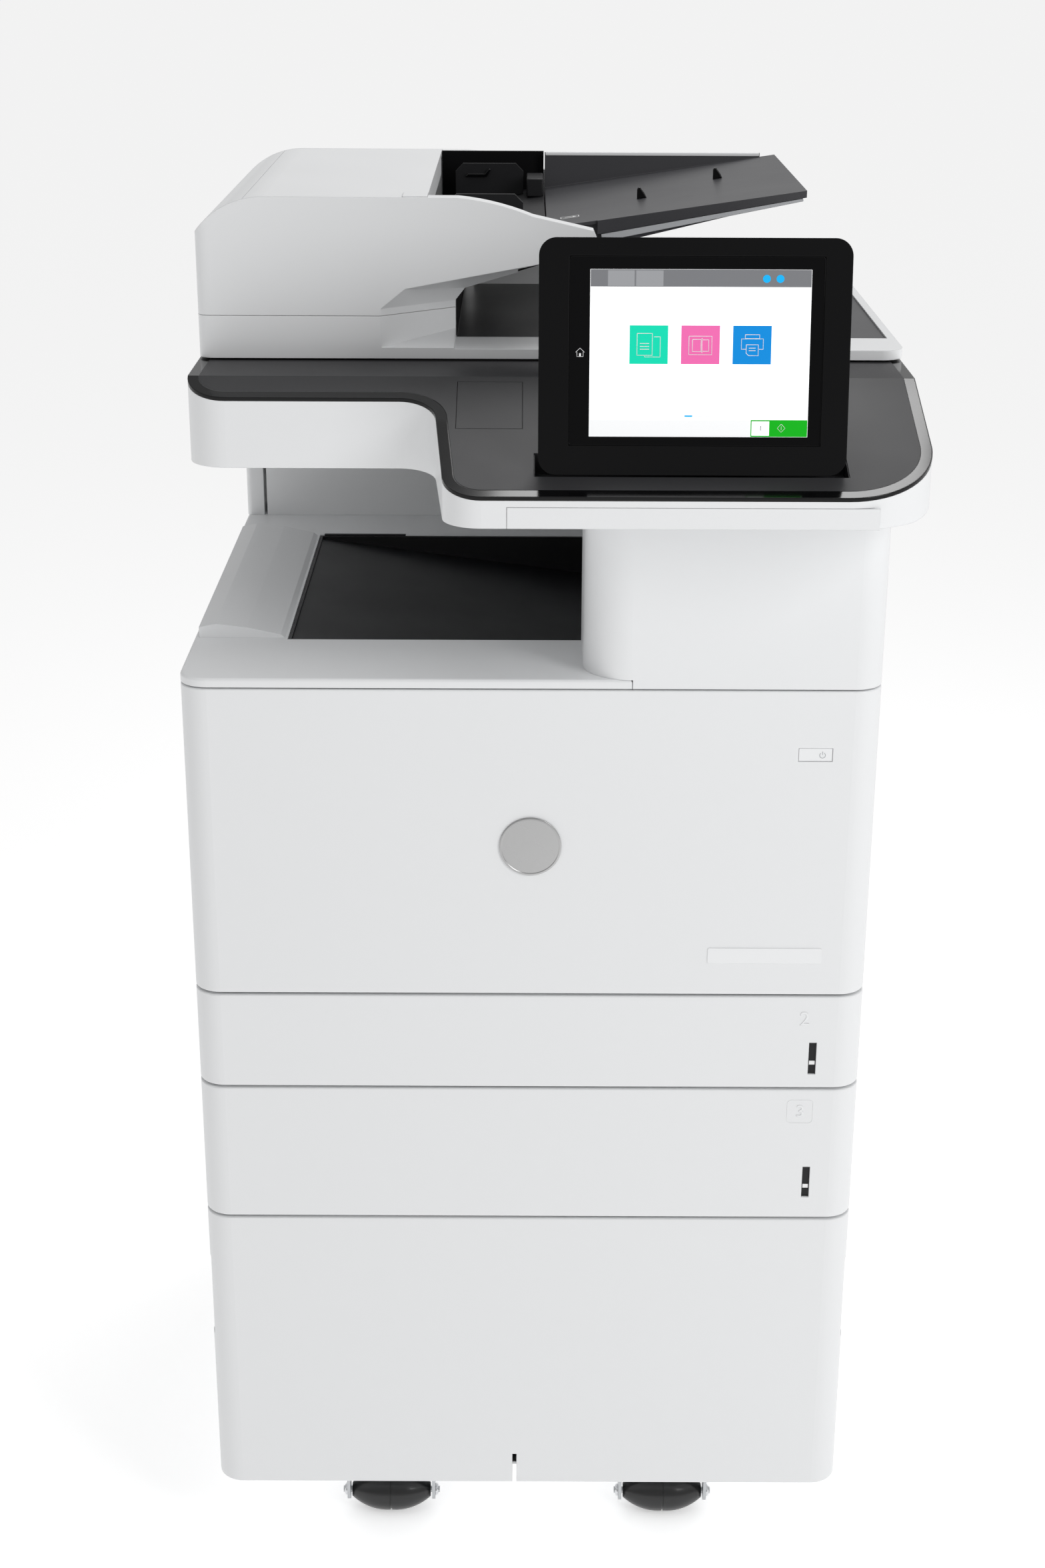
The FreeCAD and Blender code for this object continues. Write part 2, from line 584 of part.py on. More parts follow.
def column_cover():
    body = new_body()
    back = f"{FRONT} + bin_front"
    top = "scan_base - fit_gap"
    pad(body, "xy", rectangle("column_left", FRONT, HALF, back), "deck_top", top)
    pad(body, "xy", rectangle("column_left + column_round + 1", FRONT, HALF, back), "deck_base", "deck_top")
    soften(body, "column_round", lambda e: runs(e, "z") and at(e, x=S.column_left, y=front_y))
    soften(body, "corner_round", lambda e: runs(e, "z") and at(e, x=S.body_width / 2, y=front_y))
    slope = [(f"{FRONT} - 1", f"{top} - (scan_front + 1) * under_slope"), (f"{FRONT} + scan_front", top),
             (f"{FRONT} + scan_front", f"{top} + 5"), (f"{FRONT} - 1", f"{top} + 5")]
    pocket(body, "yz", slope, "column_left - 1", f"{HALF} + 1")
    pocket(body, "xy", rectangle("column_left + column_round", f"{FRONT} + 30", f"{HALF} - 30", f"{back} - wall"),
           "deck_base - 1", f"{top} - 20")
    return node("column_cover", body)


def rear_housing():
    body = new_body()
    back_line, side_line = f"{FRONT} + ledge_back", f"{FRONT} + bin_front"
    top = "scan_base - fit_gap"

    def ell(inset):
        return [(f"-housing_left + {inset}", f"{back_line} + {inset}"), (f"bin_right + {inset}", f"{back_line} + {inset}"),
                (f"bin_right + {inset}", f"{side_line} + {inset}"), (f"{HALF} - {inset}", f"{side_line} + {inset}"),
                (f"{HALF} - {inset}", f"{BACK} - {inset}"), (f"-housing_left + {inset}", f"{BACK} - {inset}")]

    pad(body, "xy", ell("0"), "deck_top", top)
    pocket(body, "xy", ell("wall"), "deck_top - 1", f"{top} - wall")
    pocket(body, "xy", rectangle("bin_right - 1", f"{FRONT} + 150", "bin_right + wall + 1", f"{FRONT} + 420"),
           "deck_top + 8", "deck_top + 34")
    post = new_body()
    pad(post, "xy", rectangle("-post_left", back_line, "-post_left + post_wide", BACK), "deck_top", top)
    soften(post, "5", lambda e: runs(e, "z") and at(e, x=-S.post_left))
    return node("rear_housing", group(body, post))


def exit_roller():
    """Shaft with rubber tyres behind the slot that delivers each sheet."""
    parts = [rod("y", (EXIT_X, f"{FRONT} + 140", EXIT_Z), "3", "292")]
    for start in (190, 270, 350):
        parts.append(rod("y", (EXIT_X, f"{FRONT} + {start}", EXIT_Z), "8", "24"))
    return node("exit_roller", fuse(*parts))


# ------------------------------------------------------------------ scanner
def scanner_plan(inset):
    """Plan of the scanner: square back, round corners and an S bend to the console."""
    left, right = -S.scan_left + inset, S.scan_right - inset
    back, front, lip = front_y + S.scan_back - inset, front_y + S.scan_front + inset, front_y - S.lip_front + inset
    small, large = S.left_round - inset, S.right_round - inset
    first, second = V(-S.bend_start, front - inset - S.bend_radius), V(-S.bend_end, lip - inset + S.bend_radius)
    across, along = second.x - first.x, second.y - first.y
    turn = math.asin(2 * S.bend_radius / math.hypot(across, along)) - math.atan2(along, across)

    def on(centre, radius, angle):
        return V(centre.x + radius * math.sin(angle), centre.y + radius * math.cos(angle))

    outer, inner = S.bend_radius + inset, S.bend_radius - inset
    bend_in = [on(first, outer, 0), on(first, outer, turn / 2), on(first, outer, turn)]
    bend_out = [on(second, -inner, turn), on(second, -inner, turn / 2), on(second, -inner, 0)]
    diagonal = math.sqrt(0.5)
    left_corner = [V(left, front + small), V(left + small * (1 - diagonal), front + small * (1 - diagonal)),
                   V(left + small, front)]
    right_corner = [V(right - large, lip), V(right - large * (1 - diagonal), lip + large * (1 - diagonal)),
                    V(right, lip + large)]
    edges = [Part.makeLine(V(left, back), left_corner[0]), Part.Arc(*left_corner).toShape(),
             Part.makeLine(left_corner[2], bend_in[0]), Part.Arc(*bend_in).toShape(),
             Part.makeLine(bend_in[2], bend_out[0]), Part.Arc(*bend_out).toShape(),
             Part.makeLine(bend_out[2], right_corner[0]), Part.Arc(*right_corner).toShape(),
             Part.makeLine(right_corner[2], V(right, back)), Part.makeLine(V(right, back), V(left, back))]
    return Part.Face(Part.Wire(edges))


def scanner_solid(inset, low, high):
    face = scanner_plan(inset)
    face.translate(V(0, 0, low))
    return face.extrude(V(0, 0, high - low))


def side_prism(points, left=-400, right=400):
    """A solid with a YZ outline, long in X."""
    corners = [V(left, y, z) for y, z in points]
    return Part.Face(Part.makePolygon(corners + corners[:1])).extrude(V(right - left, 0, 0))


def slope_top(y, drop=0):
    return S.scan_top - drop - S.slope * (front_y + S.slope_start - y)


def below_top(drop):
    """Everything under the scanner's top surface, lowered by a thickness."""
    near, bend, far = front_y - S.lip_front - 20, front_y + S.slope_start, front_y + S.scan_back + 20
    return side_prism([(near, 900), (near, slope_top(near, drop)), (bend, S.scan_top - drop), (far, S.scan_top - drop),
                       (far, 900)])


def above_bottom():
    near, far = front_y - S.lip_front - 20, front_y + S.scan_back + 20
    start = front_y + S.scan_front
    flat = start - (S.scan_base - S.lip_base) / S.under_slope
    low = [(far, S.scan_base), (start, S.scan_base), (flat, S.lip_base), (near, S.lip_base)]
    low = [corner for corner in low if corner[0] >= near]
    if flat < near:
        low.append((near, S.scan_base - (start - near) * S.under_slope))
    return side_prism(low + [(near, 1400), (far, 1400)])


def solid_box(low, high):
    return Part.makeBox(*(b - a for a, b in zip(low, high)), V(*low))


def pocket_block(grow, depth):
    """The pocket cover's place in the console's slope."""
    near, far = front_y + 9 - grow, front_y + 76 + grow
    block = solid_box((-S.pocket_x - grow, near, 900), (-S.pocket_x + S.pocket_wide + grow, far, 1200))
    inside = scanner_solid(S.rim_thick + 1 - grow, 900, 1200)
    return block.common(inside).common(below_top(0)).cut(below_top(depth))


def bay_block(grow):
    lip = front_y - S.lip_front
    return solid_box((-S.bay_left - grow, lip - 1, S.lip_base - 1),
                     (S.bay_right + grow, lip + 2.5 + grow, S.lip_base + S.bay_tall + grow))


PLATEN_LEFT = -240
RAIL_IN, RAIL_DOWN = 330, 46


def platen_hole(grow):
    near = front_y + 172
    return solid_box((PLATEN_LEFT - grow, near - grow, 1000),
                     (PLATEN_LEFT + S.platen_wide + grow, near + S.platen_deep + grow, 1200))


def panel_well():
    """Recess under the control panel, so that its lower edge can swing."""
    return solid_box((S.panel_left - 3, front_y - S.panel_front - 1.5, S.well_floor),
                     (S.panel_left + S.panel_wide + 3, hinge_point()[0] - 9.5, 1200))


def scanner_base():
    shell = scanner_solid(0, S.lip_base, S.scan_top).common(below_top(S.top_skin)).common(above_bottom())
    cavity = solid_box((-S.scan_left + 12, front_y + 100, S.scan_base + S.wall),
                       (S.scan_right - 12, front_y + S.scan_back - 12, S.scan_top + 1))
    casting = shaped(shell.cut(cavity).cut(bay_block(0.3)).cut(panel_well()))
    rail = rod("x", ("-scan_left + 12", f"{FRONT} + {RAIL_IN}", f"scan_top - {RAIL_DOWN}"), "4", "scan_left + scan_right - 24")
    return node("scanner_base", group(casting, rail))


def console_rim():
    layer = scanner_solid(0, S.lip_base, S.scan_top).common(below_top(0)).cut(below_top(S.top_skin))
    return node("console_rim", shaped(layer.cut(scanner_solid(S.rim_thick, 900, 1200))))


def console_top():
    layer = scanner_solid(S.rim_thick, S.lip_base, S.scan_top).common(below_top(0)).cut(below_top(S.top_skin))
    return node("console_top", shaped(layer.cut(platen_hole(0.3)).cut(pocket_block(0.4, 1.8)).cut(panel_well())))


def console_covers():
    """Snap-in covers: one in the console's slope, one in the lip below."""
    lip = front_y - S.lip_front
    bay = bay_block(0).common(solid_box((-400, lip, S.lip_base), (400, lip + 50, 1100)))
    return node("console_covers", shaped(Part.makeCompound([pocket_block(0, 1.8), bay])))


def platen_glass():
    glass = platen_hole(0).common(solid_box((-400, front_y, S.scan_top - S.glass_thick), (400, front_y + 650, S.scan_top)))
    return node("platen_glass", shaped(glass))


def scan_carriage():
    bar = box((str(PLATEN_LEFT), f"{FRONT} + 175", f"scan_top - {RAIL_DOWN} - 9"),
              (str(PLATEN_LEFT + 32), f"{FRONT} + 470", "scan_top - glass_thick - 6"))
    bore = rod("x", (str(PLATEN_LEFT - 1), f"{FRONT} + {RAIL_IN}", f"scan_top - {RAIL_DOWN}"), "4.05", "34")
    lamp = box((str(PLATEN_LEFT + 8), f"{FRONT} + 185", "scan_top - glass_thick - 7"),
               (str(PLATEN_LEFT + 24), f"{FRONT} + 460", "scan_top"))
    return node("scan_carriage", cut(bar, bore, lamp))


# ---------------------------------------------------------- lid and feeder
LID_LOW = "(scan_top + lid_gap)"
LID_TOP = f"({LID_LOW} + lid_plate)"
lid_top = S.scan_top + S.lid_gap + S.lid_plate
THROAT_X = -64


def scoop():
    """The flared mouth cut through the feeder's front to the delivery tunnel."""
    front, deep = front_y + S.lid_front, front_y + S.surface_front - 10
    low, roof = lid_top + 1, S.lid_seam
    outer = [(-124, low), (-124, roof + 6), (-104, roof + 22), (90, roof + 58), (90, low)]
    inner = [(THROAT_X, low + 8), (THROAT_X, roof + 6), (THROAT_X + 8, roof + 16), (90, roof + 58), (90, low + 8)]
    wires = []
    for y, outline_points in ((front - 0.2, outer), (deep, inner)):
        corners = [V(x, y, z) for x, z in outline_points]
        wires.append(Part.makePolygon(corners + corners[:1]))
    return Part.makeLoft(wires, True, True)


def lid():
    body = new_body()
    near, far = f"{FRONT} + lid_front", f"{FRONT} + lid_back"
    profile = [("-scan_left", LID_LOW), ("lid_right", LID_LOW), ("lid_right", LID_TOP), (str(THROAT_X), LID_TOP),
               (str(THROAT_X), "lid_seam"), ("-scan_left", "lid_seam")]
    pad(body, "xz", profile, near, far)
    soften(body, "18", lambda e: runs(e, "z") and at(e, x=S.lid_right, y=front_y + S.lid_front))
    soften(body, "12", lambda e: runs(e, "z") and at(e, x=-S.scan_left, y=front_y + S.lid_front))
    pocket(body, "xy", rectangle(str(THROAT_X), f"{FRONT} + surface_front", "lid_right - 7", f"{FRONT} + surface_back"),
           f"{LID_TOP} - 4", f"{LID_TOP} + 1")
    pad(body, "xz", rectangle(str(THROAT_X + 9), f"{LID_TOP} - 1", "lid_right - 6", "lid_wall"), f"{FRONT} + surface_back", far)
    soften(body, "9", lambda e: runs(e, "y") and at(e, x=S.lid_right - 6, z=S.lid_wall))
    return node("lid", fuse(cut(body, shaped(scoop())), *lid_hinge_arms()))


def lid_pad():
    """White foam backing over the glass, under the lid."""
    pad_block = box((f"{PLATEN_LEFT} + 4", f"{FRONT} + 176", "scan_top + 0.2"),
                    (f"{PLATEN_LEFT} + platen_wide - 4", f"{FRONT} + 168 + platen_deep", LID_LOW))
    return node("lid_pad", pad_block)


def output_tray():
    plate = box((f"{THROAT_X} + 0.5", f"{FRONT} + surface_front + 0.5", f"{LID_TOP} - 4"),
                ("lid_right - 7.5", f"{FRONT} + surface_back - 0.5", f"{LID_TOP} - 1.5"))
    return node("output_tray", plate)


HINGE_LINE = 518


def lid_hinges():
    """Two barrels on the scanner's back edge, with their pins."""
    parts = []
    for x in (-200, 200):
        foot = box((str(x - 20), f"{FRONT} + {HINGE_LINE} - 6", "scan_top"), (str(x + 20), f"{FRONT} + {HINGE_LINE} + 6", "scan_top + 3"))
        ears = [box((str(x + shift), f"{FRONT} + {HINGE_LINE} - 5", "scan_top + 3"),
                    (str(x + shift + 5), f"{FRONT} + {HINGE_LINE} + 5", "scan_top + 17")) for shift in (-20, 15)]
        pin = rod("x", (str(x - 20), f"{FRONT} + {HINGE_LINE}", "scan_top + 12"), "2.5", "40")
        parts.append(fuse(foot, pin, *ears))
    return node("lid_hinges", group(*parts))


def lid_hinge_arms():
    """Arms on the lid's back that turn on the hinge pins."""
    parts = []
    for x in (-200, 200):
        arm = box((str(x - 14), f"{FRONT} + lid_back", "scan_top + 6"), (str(x + 14), f"{FRONT} + {HINGE_LINE} + 5", "scan_top + 17"))
        bore = rod("x", (str(x - 15), f"{FRONT} + {HINGE_LINE}", "scan_top + 12"), "2.55", "30")
        parts.append(cut(arm, bore))
    return parts


def feeder_outline():
    """The feeder's front outline: round left shoulder, long nose to the right."""
    seam, top = S.lid_seam + 0.3, S.feeder_top
    wide, drop = 57, 29
    radius = (wide ** 2 + drop ** 2) / (2 * drop)
    turn = math.asin(wide / radius) / 2
    start, end = V(-S.scan_left, 0, top - drop), V(-S.scan_left + wide, 0, top)
    middle = V(end.x - radius * math.sin(turn), 0, top - radius * (1 - math.cos(turn)))
    nose_top = Part.Arc(V(-60, 0, top - 0.5), V(-30, 0, top - 5.5), V(0, 0, top - 15)).toShape()
    corners = [V(0, 0, top - 15), V(49, 0, top - 26), V(57, 0, top - 45), V(THROAT_X + 8, 0, S.lid_seam + 16),
               V(THROAT_X, 0, S.lid_seam + 6), V(THROAT_X, 0, seam), V(-S.scan_left, 0, seam), start]
    edges = [Part.Arc(start, middle, end).toShape(), Part.makeLine(end, V(-60, 0, top - 0.5)), nose_top]
    edges += [Part.makeLine(a, b) for a, b in zip(corners, corners[1:])]
    return Part.Face(Part.Wire(edges))


def feeder_solid():
    near, far = front_y + S.lid_front, front_y + S.feeder_back
    face = feeder_outline()
    face.translate(V(0, near, 0))
    solid = face.extrude(V(0, far - near, 0))
    corner = [e for e in solid.Edges if runs(e, "z") and at(e, x=-S.scan_left, y=near)]
    return solid.makeFillet(12, corner)


def feeder_body():
    solid = feeder_solid()
    near = front_y + S.lid_front
    left = -S.cover_right
    mouth = [(left - 20, S.feeder_top - 54), (-12, S.feeder_top - 46), (-12, S.feeder_top - 80), (60, S.feeder_top - 80),
             (60, S.feeder_top + 5), (left - 20, S.feeder_top + 5)]
    throat = band(mouth, near + 18, front_y + S.lid_back)
    seat = solid_box((-S.scan_left + 40, near + 3, S.feeder_top - S.cover_thick), (left + 0.3, front_y + S.feeder_back - 3, 1300))
    well = solid_box((left - 130, near + 40, S.feeder_top - 50), (left - 10, front_y + S.lid_back - 25, 1300))
    hinge_notch = solid_box((-300, front_y + S.lid_back - 1, 0), (300, front_y + 600, S.lid_seam + 0.1))
    return node("feeder_body", shaped(solid.cut(throat).cut(seat).cut(well).cut(scoop()).cut(hinge_notch)))


def latch_block(grow):
    near = front_y + S.lid_front
    right = -S.cover_right
    return solid_box((right - 20 - grow, near + 3, S.feeder_top - S.cover_thick + 0.3), (right + 1, near + 28 + grow, 1300))


def feeder_cover():
    near, far = front_y + S.lid_front + 3.4, front_y + S.feeder_back - 3.4
    left, right = -S.scan_left + 40.4, -S.cover_right
    slab = feeder_solid().common(solid_box((left, near, S.feeder_top - S.cover_thick + 0.3), (right, far, 1300)))
    lip = solid_box((right - 4, near + 50, S.feeder_top - 20), (right, far - 30, S.feeder_top - 4))
    return node("feeder_cover", shaped(slab.fuse(lip).removeSplitter().cut(latch_block(0.4))))


def feeder_latch():
    near = front_y + S.lid_front
    block = latch_block(0).common(solid_box((-400, near + 3.6, 0), (-S.cover_right, near + 40, S.feeder_top + 0.4)))
    return node("feeder_latch", shaped(block))


slope = math.tan(math.radians(S.tray_slope))
TRAY_LEFT = 12


def tray_z(x):
    return S.tray_end_z - (S.tray_end - x) * slope


def band(points, near, far):
    corners = [V(x, near, z) for x, z in points]
    return Part.Face(Part.makePolygon(corners + corners[:1])).extrude(V(0, far - near, 0))


def throat_z(x):
    """The throat floor's top surface, falling slightly from the tray to the rollers."""
    left, right = -S.cover_right - 8, TRAY_LEFT - 1
    left_z, right_z = tray_z(left) + 3, tray_z(right) - 0.5
    return left_z + (x - left) / (right - left) * (right_z - left_z)


def throat_plate():
    """Dark floor of the document entry, with the arm that carries the tray."""
    near, far = front_y + S.lid_front + 18.3, front_y + S.lid_back - 0.3
    left, right = -S.cover_right - 8, TRAY_LEFT - 1
    left_z, right_z = throat_z(left), throat_z(right)
    floor = band([(left, left_z), (right, right_z), (right, right_z - 6), (left, left_z - 5)], near, far)
    arm = band([(right - 20, right_z - 6), (right - 20, right_z - 30), (95, tray_z(95) - 26), (95, tray_z(95) - 22.4),
                (right, tray_z(right) - 22.4), (right, right_z - 5)], front_y + 300, front_y + 420)
    return node("throat_plate", shaped(floor.fuse(arm)))


def under_shell():
    """Hollow grey shell below the tray, deepest near the feeder."""
    near, far, right = front_y + S.tray_front + 3, front_y + S.tray_back - 4, S.tray_end - 6
    bend = TRAY_LEFT + 50

    def outline_at(inset):
        left, end = TRAY_LEFT + inset, right - inset
        return [(left, tray_z(left) - 2), (end, tray_z(end) - 2), (end, tray_z(end) - 7 + inset / 2),
                (bend, tray_z(bend) - 22 + inset), (left, tray_z(left) - 22 + inset)]

    shell = band(outline_at(0), near, far)
    hollow = band(outline_at(3), near + 3, far - 3).cut(band([(0, 1400), (0, tray_z(0) - 2.9), (300, tray_z(300) - 2.9), (300, 1400)], near, far))
    return shell.cut(hollow)


def input_tray():
    near, far, right = front_y + S.tray_front, front_y + S.tray_back, S.tray_end
    skin = band([(TRAY_LEFT, tray_z(TRAY_LEFT)), (right, tray_z(right)), (right, tray_z(right) - S.tray_skin),
                 (TRAY_LEFT, tray_z(TRAY_LEFT) - S.tray_skin)], near, far)
    lip = band([(TRAY_LEFT + 42, tray_z(TRAY_LEFT + 42)), (right, tray_z(right)), (right, tray_z(right) - S.tray_lip * 0.7),
                (TRAY_LEFT + 42, tray_z(TRAY_LEFT + 42) - S.tray_lip * 1.4)], near - 2, near + 3)
    fence = band([(TRAY_LEFT, tray_z(TRAY_LEFT)), (right - 14, tray_z(right - 14)), (right - 14, S.feeder_top - 0.5),
                  (TRAY_LEFT, S.feeder_top - 0.5)], far - 3, far)
    shape = skin.fuse([lip, fence, under_shell()]).removeSplitter()
    return node("input_tray", shaped(shape))


def document_guide(which, y, outward):
    """Upright against the originals' edge, on a foot that slides across the throat's floor."""
    left, right, top = -71, -8, S.feeder_top - 8
    low_left, low_right = throat_z(left) + 0.3, throat_z(right) + 0.3
    plate = band([(left, low_left), (right, low_right), (right, top - 7), (right - 7, top), (left + 7, top),
                  (left, top - 7)], front_y + y, front_y + y + 3)
    near, far = (y - 13, y + 1) if outward < 0 else (y + 2, y + 16)
    foot = band([(left, low_left), (right, low_right), (right, low_right + 2), (left, low_left + 2)],
                front_y + near, front_y + far)
    return node(f"{which}_document_guide", shaped(plate.fuse(foot).removeSplitter()))


# ------------------------------------------------------------ control panel
lean = FreeCAD.Rotation(V(1, 0, 0), -S.panel_lean)


def lean_back(thing):
    """Stand a panel piece, drawn from its lower left corner, at its place on the console."""
    thing.Placement = FreeCAD.Placement(V(), lean)
    place(thing, "panel_left", f"{FRONT} - panel_front", "panel_foot")
    return thing


def panel_block(left, low, right, high, near, far, radius=None):
    body = new_body()
    pad(body, "xz", rectangle(left, low, right, high), near, far)
    if radius:
        soften(body, radius, lambda e: runs(e, "y"))
    return body


GLASS = ("22.4", "21.8", "panel_wide - 19.9", "panel_tall - 13.1")
SCREEN = ("screen_left - panel_left", "(panel_tall - screen_tall) / 2 + 3", "screen_left - panel_left + screen_wide",
          "(panel_tall + screen_tall) / 2 + 3")


def panel_frame():
    body = panel_block("0", "0", "panel_wide", "panel_tall", "0", "panel_thick", "13")
    pocket(body, "xz", rectangle(*GLASS), "-1", "1.6")
    return node("panel_frame", lean_back(body))


def touch_glass():
    body = panel_block("22.7", "22.1", "panel_wide - 20.2", "panel_tall - 13.4", "0.5", "1.6", "1.5")
    pocket(body, "xz", rectangle(*SCREEN), "0", "2")
    return node("touch_glass", lean_back(body))


def display():
    inset = [f"{SCREEN[0]} + 0.1", f"{SCREEN[1]} + 0.1", f"{SCREEN[2]} - 0.1", f"{SCREEN[3]} - 0.1"]
    return node("display", lean_back(panel_block(*inset, "0.6", "1.6")))


def panel_back():
    body = panel_block("9", "9", "panel_wide - 9", "panel_tall - 9", "panel_thick", "panel_thick + 11", "10")
    pad(body, "yz", [("panel_thick + 10", "hinge_up - 9"), ("hinge_in + 3", "hinge_up - 6"), ("hinge_in + 6", "hinge_up - 3"),
                     ("hinge_in + 6", "hinge_up + 3"), ("hinge_in + 3", "hinge_up + 6"), ("panel_thick + 10", "hinge_up + 12")],
        "70", "160")
    barrel = cut(body, rod("x", ("69", "hinge_in", "hinge_up"), "3.05", "92"))
    return node("panel_back", lean_back(barrel))


def hinge_point():
    """The panel's hinge axis, in depth and height."""
    across, up = S.hinge_in, S.hinge_up
    c, s = math.cos(math.radians(S.panel_lean)), math.sin(math.radians(S.panel_lean))
    return front_y - S.panel_front + across * c + up * s, S.panel_foot - across * s + up * c


def panel_cradle():
    """Seat on the console's slope with the ears and pin that hold the panel."""
    y, z = hinge_point()
    near, far, top = y - 9, y + 40, z - 8.3
    seat = side_prism([(near, slope_top(near)), (far, slope_top(far)), (far, slope_top(far) + 1), (y - 2, top), (near, top)],
                      S.panel_left + 45, S.panel_left + 185)
    parts = [seat]
    for x in (S.panel_left + 61, S.panel_left + 161):
        parts.append(Part.makeCylinder(8, 8, V(x, y, z), V(1, 0, 0)))
        parts.append(solid_box((x, y - 8, slope_top(y - 8)), (x + 8, y + 8, z)))
    parts.append(Part.makeCylinder(3, 108, V(S.panel_left + 61, y, z), V(1, 0, 0)))
    shape = parts[0].fuse(parts[1:]).cut(below_top(0))
    return node("panel_cradle", shaped(shape.removeSplitter()))


# -------------------------------------------------------- right-hand side
ACCESS_NEAR, ACCESS_FAR = f"({FRONT} + 130)", f"({BACK} - 80)"
ACCESS_LOW, ACCESS_HIGH = "(door_low + 20)", "(deck_base - 20)"
BYPASS_NEAR, BYPASS_FAR, BYPASS_TALL = f"({FRONT} + 170)", f"({BACK} - 150)", "190"


def access_door():
    """Side door over the paper path, with a bay for the bypass tray."""
    body = new_body()
    pad(body, "xy", rectangle(f"{HALF} - 16", f"{ACCESS_NEAR} + 1", HALF, f"{ACCESS_FAR} - 1"), f"{ACCESS_LOW} + 1",
        f"{ACCESS_HIGH} - 1")
    pocket(body, "xy", rectangle(f"{HALF} - 10", BYPASS_NEAR, f"{HALF} + 1", BYPASS_FAR), f"{ACCESS_LOW} + 20",
           f"{ACCESS_LOW} + 20 + {BYPASS_TALL}")
    pocket(body, "xy", rectangle(f"{HALF} - 6", f"{ACCESS_NEAR} + 8", f"{HALF} + 1", f"{ACCESS_NEAR} + 24"), f"{ACCESS_LOW} + 80",
           f"{ACCESS_LOW} + 170")
    return node("access_door", body)


def bypass_tray():
    body = new_body()
    pad(body, "xy", rectangle(f"{HALF} - 8.5", f"{BYPASS_NEAR} + 0.8", f"{HALF}", f"{BYPASS_FAR} - 0.8"), f"{ACCESS_LOW} + 20.8",
        f"{ACCESS_LOW} + 19.2 + {BYPASS_TALL}")
    pocket(body, "xy", rectangle(f"{HALF} - 9", f"{BYPASS_NEAR} + 8", f"{HALF} - 3", f"{BYPASS_FAR} - 8"), f"{ACCESS_LOW} + 40",
           f"{ACCESS_LOW} + 10 + {BYPASS_TALL}")
    return node("bypass_tray", body)


# ---------------------------------------------------------------- the model
def build_model():
    stand_door()
    stand_shell()
    caster_plates()
    for name, (x, y) in CASTERS.items():
        caster_fork(name, x, y)
        caster_wheel(name, x, y)
    drawer_unit_shell()
    engine_frame()
    left_cover()
    right_cover()
    rear_cover()
    mains_inlet()
    for name, (low, high) in DRAWERS.items():
        gauge_z = "512" if name == "upper" else "392"
        drawer_front(f"{name}_drawer_front", low, high, gauge_z)
        drawer_pan(name, low, high)
        lift_plate(name, low)
    feed_units()
    toner_cartridges()
    engine_block("transfer_belt", "-215", "135", "684", "724", "14")
    engine_block("laser_unit", "-215", "120", "600", "660", "6")
    engine_block("fuser", "172", "252", "740", "822", "8")
    front_door()
    power_button()
    door_badge()
    top_deck()
    bin_floor()
    column_cover()
    rear_housing()
    exit_roller()
    scanner_base()
    console_rim()
    console_top()
    console_covers()
    platen_glass()
    scan_carriage()
    lid()
    lid_pad()
    lid_hinges()
    output_tray()
    feeder_body()
    feeder_cover()
    feeder_latch()
    throat_plate()
    input_tray()
    document_guide("front", 238, -1)
    document_guide("rear", 467, 1)
    panel_frame()
    touch_glass()
    display()
    panel_back()
    panel_cradle()
    access_door()
    bypass_tray()


def check_model():
    doc.recompute()
    for thing in doc.Objects:
        if "Invalid" in thing.State or "Error" in thing.State:
            raise RuntimeError(f"{thing.Label} is {thing.State}")
    for thing in nodes:
        if thing.Shape.isNull() or not thing.Shape.isValid() or thing.Shape.Volume < 1:
            raise RuntimeError(f"{thing.Label} has a bad shape")


def write_parts():
    os.makedirs("parts", exist_ok=True)
    for thing in nodes:
        thing.Shape.exportStep(os.path.join("parts", thing.Label + ".step"))
    print(len(nodes), "parts written")


build_model()
check_model()
write_parts()
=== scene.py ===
import json
import math

import bmesh
import bpy
from mathutils import Matrix, Vector


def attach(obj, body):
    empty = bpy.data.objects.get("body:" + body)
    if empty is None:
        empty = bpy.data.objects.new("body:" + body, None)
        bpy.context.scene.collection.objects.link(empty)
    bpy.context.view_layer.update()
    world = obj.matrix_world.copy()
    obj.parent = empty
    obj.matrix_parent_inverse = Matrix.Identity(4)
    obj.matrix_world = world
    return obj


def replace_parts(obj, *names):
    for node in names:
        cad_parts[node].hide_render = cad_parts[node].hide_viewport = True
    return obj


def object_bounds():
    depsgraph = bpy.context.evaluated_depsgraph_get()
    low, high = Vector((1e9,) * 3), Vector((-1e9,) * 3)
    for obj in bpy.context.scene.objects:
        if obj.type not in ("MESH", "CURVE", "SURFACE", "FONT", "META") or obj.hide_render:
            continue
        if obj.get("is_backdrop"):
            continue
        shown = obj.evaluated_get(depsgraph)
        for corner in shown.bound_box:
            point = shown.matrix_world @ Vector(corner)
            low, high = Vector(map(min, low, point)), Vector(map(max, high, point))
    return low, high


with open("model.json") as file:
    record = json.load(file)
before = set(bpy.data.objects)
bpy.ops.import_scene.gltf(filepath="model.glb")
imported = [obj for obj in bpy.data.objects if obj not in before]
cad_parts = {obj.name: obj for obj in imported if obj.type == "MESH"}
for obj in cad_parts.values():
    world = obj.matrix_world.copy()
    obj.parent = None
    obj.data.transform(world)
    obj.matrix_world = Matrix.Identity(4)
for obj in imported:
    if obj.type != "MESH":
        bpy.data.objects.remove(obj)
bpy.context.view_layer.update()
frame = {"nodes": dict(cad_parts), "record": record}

MM = 0.001
FRONT = -285.0
PANEL = Matrix.Translation(Vector((4, -340, 1029)) * MM) @ Matrix.Rotation(math.radians(-8), 4, "X")
TRAY_TILT = math.radians(8.2)
